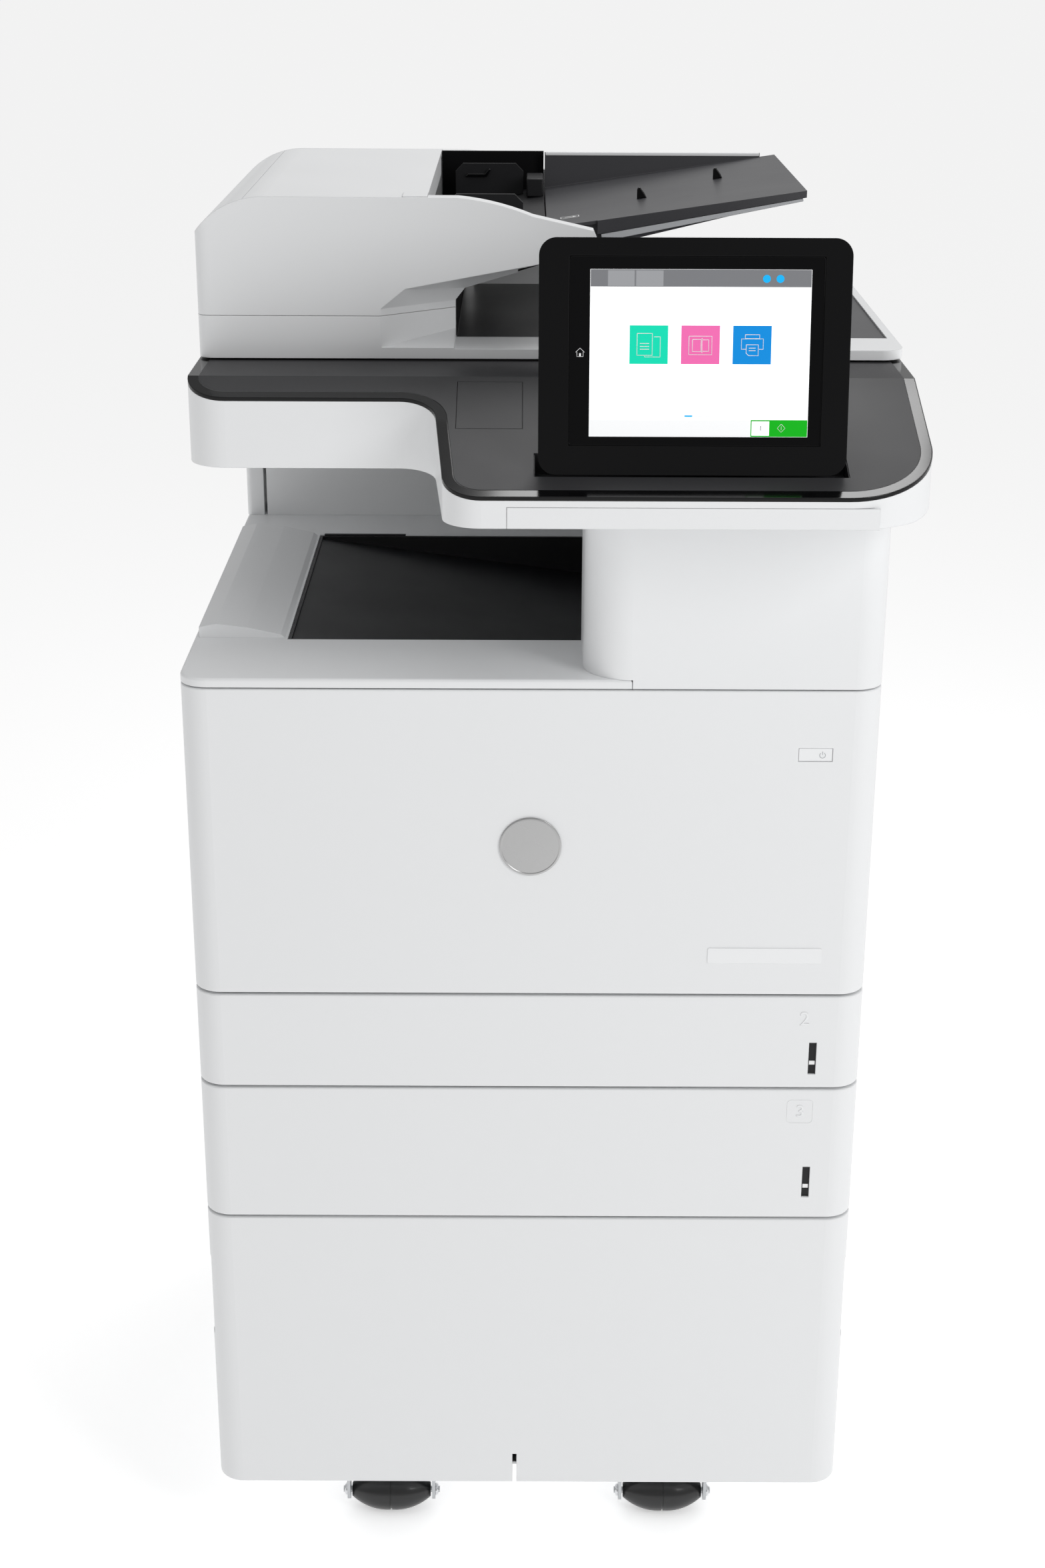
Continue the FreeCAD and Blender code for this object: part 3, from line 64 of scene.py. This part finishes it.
BADGE_HEIGHT = 706
CASTER_X, CASTER_Y, WHEEL_RADIUS = 128, 222, 19
BACK = 285
TRAY = Matrix.Translation(Vector((12, 0, 1172.9)) * MM) @ Matrix.Rotation(-TRAY_TILT, 4, "Y")


# ---------------------------------------------------------------- materials
def linear(value):
    """An sRGB value from 0 to 255 as linear light."""
    v = value / 255
    return v / 12.92 if v <= 0.04045 else ((v + 0.055) / 1.055) ** 2.4


def shade(red, green=None, blue=None):
    green = red if green is None else green
    blue = red if blue is None else blue
    return (linear(red), linear(green), linear(blue), 1.0)


def surface(name, colour, rough, grain=0.0, grain_scale=900.0, mottle=0.03, edge=0.0, coat=0.0, metal=0.0,
            specular=0.5, glow=0.0):
    """A moulded or coated finish: slight tone changes, fine grain and softly rounded edges."""
    made = bpy.data.materials.new(name)
    made.use_nodes = True
    nodes, links = made.node_tree.nodes, made.node_tree.links
    shader = nodes["Principled BSDF"]
    shader.inputs["Base Color"].default_value = colour
    shader.inputs["Roughness"].default_value = rough
    shader.inputs["Metallic"].default_value = metal
    shader.inputs["Coat Weight"].default_value = coat
    shader.inputs["Coat Roughness"].default_value = 0.05
    shader.inputs["Specular IOR Level"].default_value = specular
    if glow:
        shader.inputs["Emission Color"].default_value = colour
        shader.inputs["Emission Strength"].default_value = glow
    place = nodes.new("ShaderNodeTexCoord")
    cloud = nodes.new("ShaderNodeTexNoise")
    cloud.inputs["Scale"].default_value = 9.0
    cloud.inputs["Detail"].default_value = 3.0
    links.new(place.outputs["Object"], cloud.inputs["Vector"])
    tone = nodes.new("ShaderNodeMapRange")
    tone.inputs["From Min"].default_value = 0.3
    tone.inputs["From Max"].default_value = 0.7
    tone.inputs["To Min"].default_value = max(0.0, rough - mottle)
    tone.inputs["To Max"].default_value = min(1.0, rough + mottle)
    links.new(cloud.outputs["Fac"], tone.inputs["Value"])
    links.new(tone.outputs["Result"], shader.inputs["Roughness"])
    normal = None
    if edge:
        rounding = nodes.new("ShaderNodeBevel")
        rounding.samples = 6
        rounding.inputs["Radius"].default_value = edge * MM
        normal = rounding.outputs["Normal"]
    if grain:
        speck = nodes.new("ShaderNodeTexNoise")
        speck.inputs["Scale"].default_value = grain_scale
        speck.inputs["Detail"].default_value = 2.0
        links.new(place.outputs["Object"], speck.inputs["Vector"])
        bump = nodes.new("ShaderNodeBump")
        bump.inputs["Strength"].default_value = grain
        bump.inputs["Distance"].default_value = 0.0002
        links.new(speck.outputs["Fac"], bump.inputs["Height"])
        if normal:
            links.new(normal, bump.inputs["Normal"])
        normal = bump.outputs["Normal"]
    if normal:
        links.new(normal, shader.inputs["Normal"])
    return made


def painted_reflection_metal(name, colour, rough):
    """Metal whose base colour runs through light and dark bands by angle around the badge centre: a painted
    reflection.
    """
    made = surface(name, colour, rough, metal=1.0, edge=0.4)
    nodes, links = made.node_tree.nodes, made.node_tree.links
    shader = nodes["Principled BSDF"]
    place = nodes.new("ShaderNodeTexCoord")
    reflection_sweep = nodes.new("ShaderNodeTexGradient")
    reflection_sweep.gradient_type = "RADIAL"
    turn = nodes.new("ShaderNodeMapping")
    turn.inputs["Location"].default_value = (0, -BADGE_HEIGHT * MM, 0)
    turn.inputs["Rotation"].default_value = (math.radians(90), 0, 0)
    links.new(place.outputs["Object"], turn.inputs["Vector"])
    links.new(turn.outputs["Vector"], reflection_sweep.inputs["Vector"])
    # painted reflection: light and dark bands in the base colour, set by angle around the badge centre, stand
    # in for highlights on the metal
    reflection_tones = nodes.new("ShaderNodeValToRGB")
    reflection_tones.color_ramp.elements[0].color = shade(236)
    reflection_tones.color_ramp.elements[1].color = shade(236)
    for at, value in ((0.18, 120), (0.34, 225), (0.55, 130), (0.78, 215)):
        reflection_tones.color_ramp.elements.new(at).color = shade(value)
    links.new(reflection_sweep.outputs["Fac"], reflection_tones.inputs["Fac"])
    links.new(reflection_tones.outputs["Color"], shader.inputs["Base Color"])
    return made


def clear_glass(name, tint):
    made = surface(name, tint, 0.03, mottle=0.005)
    made.node_tree.nodes["Principled BSDF"].inputs["Transmission Weight"].default_value = 0.9
    return made


WHITE = surface("white_plastic", shade(232, 233, 234), 0.42, grain=0.06, edge=0.9, coat=0.12)
WHITE_FINE = surface("white_fine", shade(236, 237, 238), 0.36, edge=0.6, coat=0.15)
GREY = surface("grey_plastic", shade(176, 178, 181), 0.5, grain=0.08, edge=0.6)
CONSOLE = surface("console_grey", shade(44, 44, 46), 0.46, grain=0.25, grain_scale=1400, edge=0.5,
                  specular=0.3)
DARK = surface("dark_plastic", shade(24, 24, 26), 0.42, grain=0.12, edge=0.5, specular=0.3)
# painted shade: near-black for sheets set inside openings, standing in for the shade there
SHADE_BLACK = surface("painted_shade_black", shade(7, 7, 8), 0.6, specular=0.1)
TRAY_DARK = surface("tray_grey", shade(62, 62, 65), 0.36, grain=0.08, edge=0.8)
GLOSS = surface("black_gloss", shade(6, 6, 7), 0.1, edge=1.2, mottle=0.02, specular=0.3)
BEZEL = surface("bezel_black", shade(7, 7, 8), 0.24, edge=0.8, mottle=0.02, specular=0.16)
PANE = surface("bezel_pane", shade(4, 4, 5), 0.1, mottle=0.01, specular=0.14)
INNER = surface("inner_dark", shade(48, 48, 50), 0.5, grain=0.1, edge=0.5)
STEEL = surface("zinc_steel", shade(188, 190, 192), 0.34, metal=1.0, mottle=0.1, edge=0.3)
SILVER = surface("pin_silver", shade(214, 215, 217), 0.25, metal=1.0, edge=0.3)
# badge: its base colour carries a painted reflection
BADGE_PAINTED_REFLECTION = painted_reflection_metal("badge_metal_painted_reflection", shade(205), 0.28)
WHEEL = surface("caster_black", shade(24, 24, 25), 0.3, edge=0.4, coat=0.15)
RUBBER = surface("roller_rubber", shade(40, 40, 41), 0.8, grain=0.3)
FOAM = surface("pad_white", shade(235, 235, 233), 0.75, grain=0.15)
GLASS = clear_glass("platen_clear", shade(214, 226, 222))
MARK = surface("white_mark", shade(240), 0.4, mottle=0.01)
GREY_MARK = surface("grey_mark", shade(165, 167, 170), 0.4)


def lit(name, red, green, blue, strength=0.4):
    return surface(name, shade(red, green, blue), 0.35, mottle=0.02, glow=strength, specular=0.2)


SCREEN_WHITE = lit("screen_white", 250, 251, 252, 0.6)
SCREEN_BAR = lit("screen_bar", 108, 109, 112)
SCREEN_BAR_LIGHT = lit("screen_bar_light", 138, 139, 142)
SCREEN_FOOT = lit("screen_foot", 224, 225, 226)
TEAL = lit("screen_teal", 12, 196, 160)
PINK = lit("screen_pink", 214, 98, 158)
BLUE = lit("screen_blue", 6, 124, 196)
DOT_BLUE = lit("screen_dot", 20, 160, 220)
GREEN = lit("screen_green", 8, 160, 20)
INK = lit("screen_ink", 60, 60, 64)

LOOKS = {
    "white_cover": WHITE, "grey_cover": GREY, "dark_plastic": DARK, "tray_grey": TRAY_DARK,
    "console_grey": CONSOLE, "black_gloss": GLOSS, "sheet_steel": STEEL, "caster_black": WHEEL,
    "badge_silver": BADGE_PAINTED_REFLECTION, "button_white": WHITE_FINE, "screen": SCREEN_WHITE, "bezel_glass": PANE,
    "clear_glass": GLASS, "pad_white": FOAM, "inner_dark": INNER, "roller_rubber": RUBBER,
}
for part in frame["record"]["subparts"]:
    piece = frame["nodes"][part["node"]]
    piece.data.materials.clear()
    piece.data.materials.append(LOOKS[part["material_slot"]])
frame["nodes"]["panel_frame"].data.materials[0] = BEZEL


# --------------------------------------------------------------- modelling
class Form:
    """Gathers boxes, bars and outlines in millimetres into one piece."""

    def __init__(self):
        self.mesh = bmesh.new()

    def box(self, low, high):
        centre = [(a + b) / 2 for a, b in zip(low, high)]
        size = [b - a for a, b in zip(low, high)]
        matrix = Matrix.Translation(centre) @ Matrix.Diagonal((*size, 1))
        bmesh.ops.create_cube(self.mesh, size=1, matrix=matrix)
        return self

    def outline(self, points, plane, start, end):
        """A closed outline in a plane, thick from start to end across it."""
        order = {"xy": (0, 1, 2), "xz": (0, 2, 1), "yz": (1, 2, 0)}[plane]
        rings = []
        for level in (start, end):
            ring = []
            for a, b in points:
                spot = [0.0, 0.0, 0.0]
                spot[order[0]], spot[order[1]], spot[order[2]] = a, b, level
                ring.append(self.mesh.verts.new(spot))
            rings.append(ring)
        count = len(points)
        faces = [self.mesh.faces.new(rings[0]), self.mesh.faces.new(rings[1])]
        for i in range(count):
            j = (i + 1) % count
            faces.append(self.mesh.faces.new((rings[0][i], rings[0][j], rings[1][j], rings[1][i])))
        bmesh.ops.recalc_face_normals(self.mesh, faces=faces)
        return self

    def turned(self, profile, centre, axis, steps=64):
        """A turned shape: pairs of distance along the axis and radius."""
        rings = []
        along = {"x": 0, "y": 1, "z": 2}[axis]
        across = [i for i in range(3) if i != along]
        for level, radius in profile:
            ring = []
            for k in range(steps):
                angle = 2 * math.pi * k / steps
                spot = list(centre)
                spot[along] += level
                spot[across[0]] += radius * math.cos(angle)
                spot[across[1]] += radius * math.sin(angle)
                ring.append(self.mesh.verts.new(spot))
            rings.append(ring)
        faces = [self.mesh.faces.new(rings[0]), self.mesh.faces.new(rings[-1])]
        for low, high in zip(rings, rings[1:]):
            for k in range(steps):
                j = (k + 1) % steps
                faces.append(self.mesh.faces.new((low[k], low[j], high[j], high[k])))
        bmesh.ops.recalc_face_normals(self.mesh, faces=faces)
        return self

    def done(self, name, body, look, slot, matrix=None, round_off=0.0, smooth=False):
        data = bpy.data.meshes.new(name)
        self.mesh.to_mesh(data)
        self.mesh.free()
        data.transform(Matrix.Scale(MM, 4))
        if matrix:
            data.transform(matrix)
        data.materials.append(look)
        made = bpy.data.objects.new(name, data)
        bpy.context.collection.objects.link(made)
        if round_off:
            bevel = made.modifiers.new("rounding", "BEVEL")
            bevel.width = round_off * MM
            bevel.segments = 3
            bevel.limit_method = "ANGLE"
            bevel.angle_limit = math.radians(40)
            smooth = True
        if smooth:
            data.shade_smooth()
            data.set_sharp_from_angle(angle=math.radians(35))
        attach(made, body)
        return made


def rounded(left, low, right, high, radius, steps=8):
    """Points around a rectangle with round corners."""
    corners = ((right - radius, high - radius, 0), (left + radius, high - radius, 90),
               (left + radius, low + radius, 180), (right - radius, low + radius, 270))
    points = []
    for x, y, start in corners:
        for k in range(steps + 1):
            angle = math.radians(start + 90 * k / steps)
            points.append((x + radius * math.cos(angle), y + radius * math.sin(angle)))
    return points


def wire(name, body, look, lines, radius, matrix=None, closed=False):
    """Fine round lines through points in millimetres, as one mesh."""
    curve = bpy.data.curves.new(name, "CURVE")
    curve.dimensions = "3D"
    curve.bevel_depth = radius * MM
    curve.bevel_resolution = 2
    for line in lines:
        spline = curve.splines.new("POLY")
        spline.points.add(len(line) - 1)
        for point, spot in zip(spline.points, line):
            place = Vector(spot) * MM
            point.co = (*(matrix @ place if matrix else place), 1)
        spline.use_cyclic_u = closed
    holder = bpy.data.objects.new(name + "_line", curve)
    bpy.context.collection.objects.link(holder)
    bpy.context.view_layer.update()
    data = bpy.data.meshes.new_from_object(holder.evaluated_get(bpy.context.evaluated_depsgraph_get()))
    bpy.data.objects.remove(holder)
    data.name = name
    data.materials.clear()
    data.materials.append(look)
    data.shade_smooth()
    made = bpy.data.objects.new(name, data)
    bpy.context.collection.objects.link(made)
    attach(made, body)
    return made


def digit(name, text, body, look, size, depth, matrix):
    """A raised or printed number, centred on its place."""
    curve = bpy.data.curves.new(name, "FONT")
    curve.body = text
    curve.size = size * MM
    curve.extrude = depth * MM / 2
    curve.align_x = "CENTER"
    curve.align_y = "CENTER"
    holder = bpy.data.objects.new(name + "_text", curve)
    bpy.context.collection.objects.link(holder)
    bpy.context.view_layer.update()
    data = bpy.data.meshes.new_from_object(holder.evaluated_get(bpy.context.evaluated_depsgraph_get()))
    bpy.data.objects.remove(holder)
    data.name = name
    data.transform(matrix @ Matrix.Rotation(math.radians(90), 4, "X"))
    data.materials.clear()
    data.materials.append(look)
    made = bpy.data.objects.new(name, data)
    bpy.context.collection.objects.link(made)
    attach(made, body)
    return made


def at(x, y, z):
    return Matrix.Translation(Vector((x, y, z)) * MM)


# ------------------------------------------------- doors, drawers and badge
for body, low_z in (("upper_drawer", 497.2), ("lower_drawer", 377.2)):
    name = "gauge_" + body
    window = Form().box((236.9, -283.2, low_z), (243.1, -280, low_z + 29.6))
    window.done(name + "_window", body, DARK, "dark_plastic")
    marker = Form().box((237.6, -283.8, low_z + 8.5), (242.4, -283.1, low_z + 12))
    marker.done(name + "_marker", body, MARK, "button_white")
for body, text, size, z in (("upper_drawer", "2", 18, 549), ("lower_drawer", "3", 16, 461)):
    digit(body + "_number", text, body, WHITE_FINE, size, 0.8, at(232, FRONT - 0.1, z))
frame_line = [(x, FRONT, z) for x, z in rounded(221, 450, 243, 472, 3.5)]
wire("lower_drawer_number_frame", "lower_drawer", WHITE_FINE, [frame_line], 0.35, closed=True)

POWER_X, POWER_Y, POWER_Z, POWER_RADIUS = 235.2, -284.65, 786.1, 2.3
turns = [math.radians(angle) for angle in range(35, 326, 15)]
ring = [(POWER_X + POWER_RADIUS * math.sin(turn), POWER_Y, POWER_Z + POWER_RADIUS * math.cos(turn))
        for turn in turns]
stroke = [(POWER_X, POWER_Y, POWER_Z + 0.5), (POWER_X, POWER_Y, POWER_Z + 3.3)]
wire("power_symbol", "power_button", GREY_MARK, [ring, stroke], 0.22)
plate = Form().outline(rounded(148, 601, 243, 615, 1.5), "xz", FRONT - 0.6, FRONT + 0.1)
plate.done("door_label_plate", "front_door", WHITE_FINE, "white_cover", round_off=0.15)
rim = [(-0.0, 25.4), (-1.3, 25.4), (-1.6, 24.9), (-1.6, 23.9), (-1.2, 23.4), (-1.2, 0.01)]
disc = Form().turned(rim, (0, FRONT, BADGE_HEIGHT), "y", 96)
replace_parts(disc.done("badge_disc", "front_door", BADGE_PAINTED_REFLECTION, "badge_silver", smooth=True), "door_badge")

# -------------------------------------------------------------- output bin
# painted shade: a dark strip on the ledge's front edge stands in for the shade inside the finger recess; no
# recess is cut
notch_shade_strip = Form().box((-200, 155.8, 846), (-121, 160, 849.6))
notch_shade_strip.done("ledge_notch_shade_strip", "frame", DARK, "dark_plastic", round_off=0.3)

# ------------------------------------------- console covers and panel well
well = Form().box((1.2, -341.3, 1022), (236.8, -310.3, 1022.6))
well.box((1.2, -341.4, 1022), (236.8, -340.9, 1027.6)).box((1.2, -310.7, 1022), (236.8, -310.2, 1037.8))
for side in (1.1, 236.3):
    well.outline([(-341.4, 1022), (-310.2, 1022), (-310.2, 1037.6), (-341.4, 1027.4)], "yz", side, side + 0.6)
well.done("console_well_lining", "frame", CONSOLE, "console_grey")


def part_of(name, node, look, keep):
    """The solids of a CAD node on one side of a level, as a piece of their own."""
    mesh = bmesh.new()
    mesh.from_mesh(frame["nodes"][node].data)
    spare = [face for face in mesh.faces if not keep(face.calc_center_median())]
    bmesh.ops.delete(mesh, geom=spare, context="FACES")
    data = bpy.data.meshes.new(name)
    mesh.to_mesh(data)
    mesh.free()
    data.materials.append(look)
    made = bpy.data.objects.new(name, data)
    bpy.context.collection.objects.link(made)
    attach(made, "frame")
    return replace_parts(made, node)


part_of("console_pocket_cover", "console_covers", CONSOLE, lambda c: c.z > 1.02)
part_of("console_bay_cover", "console_covers", WHITE, lambda c: c.z < 1.02)

# ------------------------------------------------------------ control panel
SCREEN_LEFT, SCREEN_TOP, SCREEN_WIDE, SCREEN_TALL = 37.6, 150.45, 162.7, 121.9


def on_screen(across, down):
    """Millimetres in the panel from fractions of the screen, from its upper left."""
    return SCREEN_LEFT + across * SCREEN_WIDE, SCREEN_TOP - down * SCREEN_TALL


def tiles(name, look, areas, layer=1):
    form = Form()
    for left, top, right, bottom in areas:
        (x0, z1), (x1, z0) = on_screen(left, top), on_screen(right, bottom)
        form.box((x0, 0.6 - 0.04 * layer, z0), (x1, 0.6, z1))
    return form.done(name, "control_panel", look, "screen", PANEL)


def strokes(name, look, lines, width=0.55, layer=2):
    """Lines drawn on the screen; each is a list of fractions of the screen."""
    routes = []
    for line in lines:
        route = []
        for across, down in line:
            x, z = on_screen(across, down)
            route.append((x, 0.6 - 0.04 * layer, z))
        routes.append(route)
    return wire(name, "control_panel", look, routes, width / 2, PANEL)


def loop(left, top, right, bottom):
    return [(left, top), (right, top), (right, bottom), (left, bottom), (left, top)]


tiles("screen_top_bar", SCREEN_BAR, [(0.002, 0.002, 0.998, 0.104)])
tiles("screen_top_keys", SCREEN_BAR_LIGHT, [(0.08, 0.008, 0.2, 0.1), (0.207, 0.008, 0.33, 0.1)], 2)
tiles("screen_bottom_bar", SCREEN_FOOT, [(0.002, 0.898, 0.738, 0.998)])
tiles("screen_tile_copy", TEAL, [(0.181, 0.332, 0.3555, 0.562)])
tiles("screen_tile_scan", PINK, [(0.415, 0.332, 0.59, 0.562)])
tiles("screen_tile_print", BLUE, [(0.6495, 0.332, 0.824, 0.562)])
tiles("screen_start_key", GREEN, [(0.739, 0.896, 0.998, 0.998)])
tiles("screen_count_field", SCREEN_WHITE, [(0.744, 0.904, 0.824, 0.99)], 2)
tiles("screen_page_now", DOT_BLUE, [(0.436, 0.869, 0.472, 0.879)])
tiles("screen_pages", SCREEN_FOOT, [(0.483, 0.869, 0.518, 0.879), (0.53, 0.869, 0.565, 0.879)])
dots = Form()
for across in (0.796, 0.857):
    x, z = on_screen(across, 0.055)
    dots.turned([(0, 2.9), (0.12, 2.9)], (x, 0.46, z), "y", 32)
dots.done("screen_help_dots", "control_panel", DOT_BLUE, "screen", PANEL)
copy_icon = [loop(0.215, 0.38, 0.284, 0.51),
             [(0.292, 0.4), (0.32, 0.4), (0.32, 0.52), (0.25, 0.52), (0.25, 0.514)],
             [(0.228, 0.44), (0.27, 0.44)], [(0.228, 0.457), (0.27, 0.457)], [(0.228, 0.474), (0.27, 0.474)]]
scan_icon = [loop(0.45, 0.395, 0.554, 0.505), loop(0.466, 0.415, 0.505, 0.487),
             [(0.509, 0.405), (0.509, 0.495)],
             [(0.513, 0.417), (0.54, 0.417), (0.54, 0.485), (0.513, 0.485)]]
print_icon = [loop(0.705, 0.385, 0.77, 0.408),
              [(0.708, 0.472), (0.688, 0.472), (0.688, 0.41), (0.787, 0.41), (0.787, 0.472), (0.768, 0.472)],
              [(0.71, 0.445), (0.765, 0.445), (0.765, 0.51), (0.722, 0.51), (0.71, 0.495), (0.71, 0.445)],
              [(0.722, 0.465), (0.753, 0.465)], [(0.722, 0.48), (0.753, 0.48)]]
strokes("screen_icon_lines", MARK, copy_icon + scan_icon + print_icon)
diamond = [(0.879, 0.92), (0.897, 0.945), (0.879, 0.97), (0.861, 0.945), (0.879, 0.92)]
strokes("screen_start_symbol", MARK, [diamond, [(0.879, 0.934), (0.879, 0.956)]], 0.35)
x, z = on_screen(0.785, 0.947)
digit("screen_count", "1", "control_panel", INK, 5.5, 0.06, PANEL @ at(x, 0.5, z))
home = [(27.4, 0.42, 90.3), (30.6, 0.42, 93.4), (33.8, 0.42, 90.3)]
walls = [(28.3, 0.42, 90.4), (28.3, 0.42, 87.2), (32.9, 0.42, 87.2), (32.9, 0.42, 90.4)]
wire("home_symbol", "control_panel", MARK, [home, walls], 0.2, PANEL)
home_door = Form().box((29.9, 0.36, 87.2), (31.3, 0.5, 89.6))
home_door.done("home_symbol_door", "control_panel", MARK, "button_white", PANEL)
pane_edge = [(x, 0.3, z) for x, z in rounded(22.9, 22.3, 209.6, 159.4, 2.2)]
wire("pane_edge_line", "control_panel", PANE, [pane_edge], 0.35, PANEL, closed=True)

# ------------------------------------------------------------------- feeder
for which, x, y in (("near", 83, 35), ("far", 154, 95)):
    fin = [(-3, 0), (5.5, 0), (4.2, 4), (1.2, 9.2), (-0.6, 9.6), (-1.8, 8)]
    form = Form().outline([(x + a, b + 0.1) for a, b in fin], "xz", y - 1.5, y + 1.5)
    form.done("sheet_flag_" + which, "input_tray", GLOSS, "dark_plastic", TRAY, round_off=0.4)
icon = Form()
for low, high in (((12, -26), (28, -25.3)), ((12, -16.7), (28, -16)), ((12, -26), (12.7, -16)),
                  ((27.3, -26), (28, -16)), ((15.5, -21.4), (23, -20.6))):
    icon.box((*low, 0.15), (*high, 0.32))
icon.outline([(22.5, -23.6), (25.6, -21), (22.5, -18.4)], "xy", 0.15, 0.32)
icon.done("tray_page_symbol", "input_tray", MARK, "button_white", TRAY)
rim = Form().box((12.5, 206.5, 1202.6), (213, 210.2, 1205.9))
rim.done("tray_fence_rim", "input_tray", WHITE_FINE, "white_cover", round_off=0.8)
# painted shade: near-black sheets line the feeder throat and the delivery opening; the roof also closes the
# opening, but its near-black colour is painted shade
lining = Form().box((-84.5, 217.6, 1162), (11, 219.9, 1205.5))
lining.box((-105, -116.9, 1153), (-104.3, 219.9, 1199))
lining.done("throat_shade_lining", "lid", SHADE_BLACK, "dark_plastic")
roof = [(-63.9, 1085), (-63.9, 1116.6), (-56, 1126.4), (56, 1160),
        (56, 1159), (-55.4, 1125.6), (-63.3, 1116.2), (-63.3, 1085)]
Form().outline(roof, "xz", -76, 219).done("delivery_shade_lining", "lid", SHADE_BLACK, "dark_plastic")
band = [(44, -11.4), (214, -5.9), (214, -8.2), (44, -17.5)]
form = Form().outline(band, "xz", -65.8, -60.5)
form.done("tray_under_band", "input_tray", GREY, "grey_cover", TRAY, round_off=0.5)
post = Form().box((-5, 150, 1171.5), (10.4, 196, 1188))
post.done("throat_side_post", "lid", DARK, "dark_plastic", round_off=1.2)
lever = [(-62, 1186), (-42, 1186), (-38, 1193), (-40, 1193.6), (-44, 1189), (-60, 1189)]
form = Form().outline(lever, "xz", 178.6, 182.5)
form.done("rear_guide_lever", "rear_document_guide", GLOSS, "dark_plastic", round_off=0.5)

# ------------------------------------------------------------- casters, back
for corner, x, y in (("front_left", -CASTER_X, -CASTER_Y), ("front_right", CASTER_X, -CASTER_Y),
                     ("rear_left", -CASTER_X, CASTER_Y), ("rear_right", CASTER_X, CASTER_Y)):
    heads = Form()
    for side in (-1, 1):
        profile = [(0, 5.6), (side * 1.4, 5.6), (side * 2.6, 4.4), (side * 3.0, 0.01)]
        heads.turned(profile, (x + side * 41.6, y, WHEEL_RADIUS), "x", 32)
    heads.done("caster_pin_heads_" + corner, "caster_" + corner, SILVER, "sheet_steel", smooth=True)
screws = Form()
for x in (-262, 0, 262):
    for z in (500, 640, 825):
        screws.turned([(0, 4), (1.2, 3.8), (2.0, 2.4), (2.0, 0.01)], (x, BACK - 0.1, z), "y", 24)
screws.done("rear_screws", "frame", STEEL, "sheet_steel", smooth=True)
Form().box((90, 277.8, 680), (215, 279.2, 726)).done("interface_plate", "frame", STEEL, "sheet_steel")
ports = Form()
for left, right, low, high in ((100, 116, 696, 710), (124, 136, 696, 708), (124, 136, 711, 716),
                               (146, 159, 696, 708), (170, 205, 698, 711)):
    ports.box((left, 279, low), (right, 281.2, high))
ports.done("interface_sockets", "frame", DARK, "dark_plastic", round_off=0.3)
rating = Form().outline(rounded(-60, 560, 60, 610, 3), "xz", BACK - 0.1, BACK + 0.3)
rating.done("rating_plate_blank", "frame", GREY_MARK, "grey_cover")
access = Form().box((-30, BACK - 0.2, 720), (110, BACK + 1.2, 800))
access.done("rear_access_cover", "frame", GREY, "grey_cover", round_off=1.0)


# ------------------------------------------------------- floor, light, view
floor_mesh = bpy.data.meshes.new("floor")
FLOOR_HALF, FLOOR_LEVEL = 60, -0.0005
corners = [(x * FLOOR_HALF, y * FLOOR_HALF, FLOOR_LEVEL) for x, y in ((-1, -1), (1, -1), (1, 1), (-1, 1))]
floor_mesh.from_pydata(corners, [], [(0, 1, 2, 3)])
floor = bpy.data.objects.new("floor", floor_mesh)
bpy.context.collection.objects.link(floor)
floor_mesh.materials.append(surface("floor_pale", shade(250), 0.9, glow=0.46, specular=0.0))
floor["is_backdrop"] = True


def lamp(name, place, target, size, power):
    data = bpy.data.lights.new(name, "AREA")
    data.shape = "RECTANGLE"
    data.size, data.size_y = size
    data.energy = power
    made = bpy.data.objects.new(name, data)
    made.location = place
    made.rotation_euler = (Vector(target) - Vector(place)).to_track_quat("-Z", "Y").to_euler()
    bpy.context.collection.objects.link(made)


lamp("key_right", (1.5, -1.7, 1.9), (0.05, -0.2, 0.9), (0.9, 1.2), 17)
lamp("top_soft", (0.2, 0.1, 2.7), (0, 0, 1.0), (1.8, 1.6), 9)
lamp("lip_glint", (0.29, 0.92, 2.6), (0.13, -0.36, 1.02), (0.69, 0.5), 7)
world = bpy.data.worlds.new("studio")
world.use_nodes = True
world.node_tree.nodes["Background"].inputs["Color"].default_value = (1, 1, 1, 1)
world.node_tree.nodes["Background"].inputs["Strength"].default_value = 0.47
bpy.context.scene.world = world
bpy.context.scene.view_settings.view_transform = "Standard"

camera_data = bpy.data.cameras.new("camera")
camera_data.sensor_fit = "VERTICAL"
camera_data.sensor_height = 36
camera_data.lens = 53.68
camera = bpy.data.objects.new("camera", camera_data)
look_down = Matrix.Rotation(math.radians(90 - 21.1), 4, "X")
camera_roll = Matrix.Rotation(0.0039, 4, "Z")
camera.matrix_world = Matrix.Translation((-0.0066, -2.051, 1.442)) @ look_down @ camera_roll
bpy.context.collection.objects.link(camera)
bpy.context.scene.camera = camera

low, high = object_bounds()
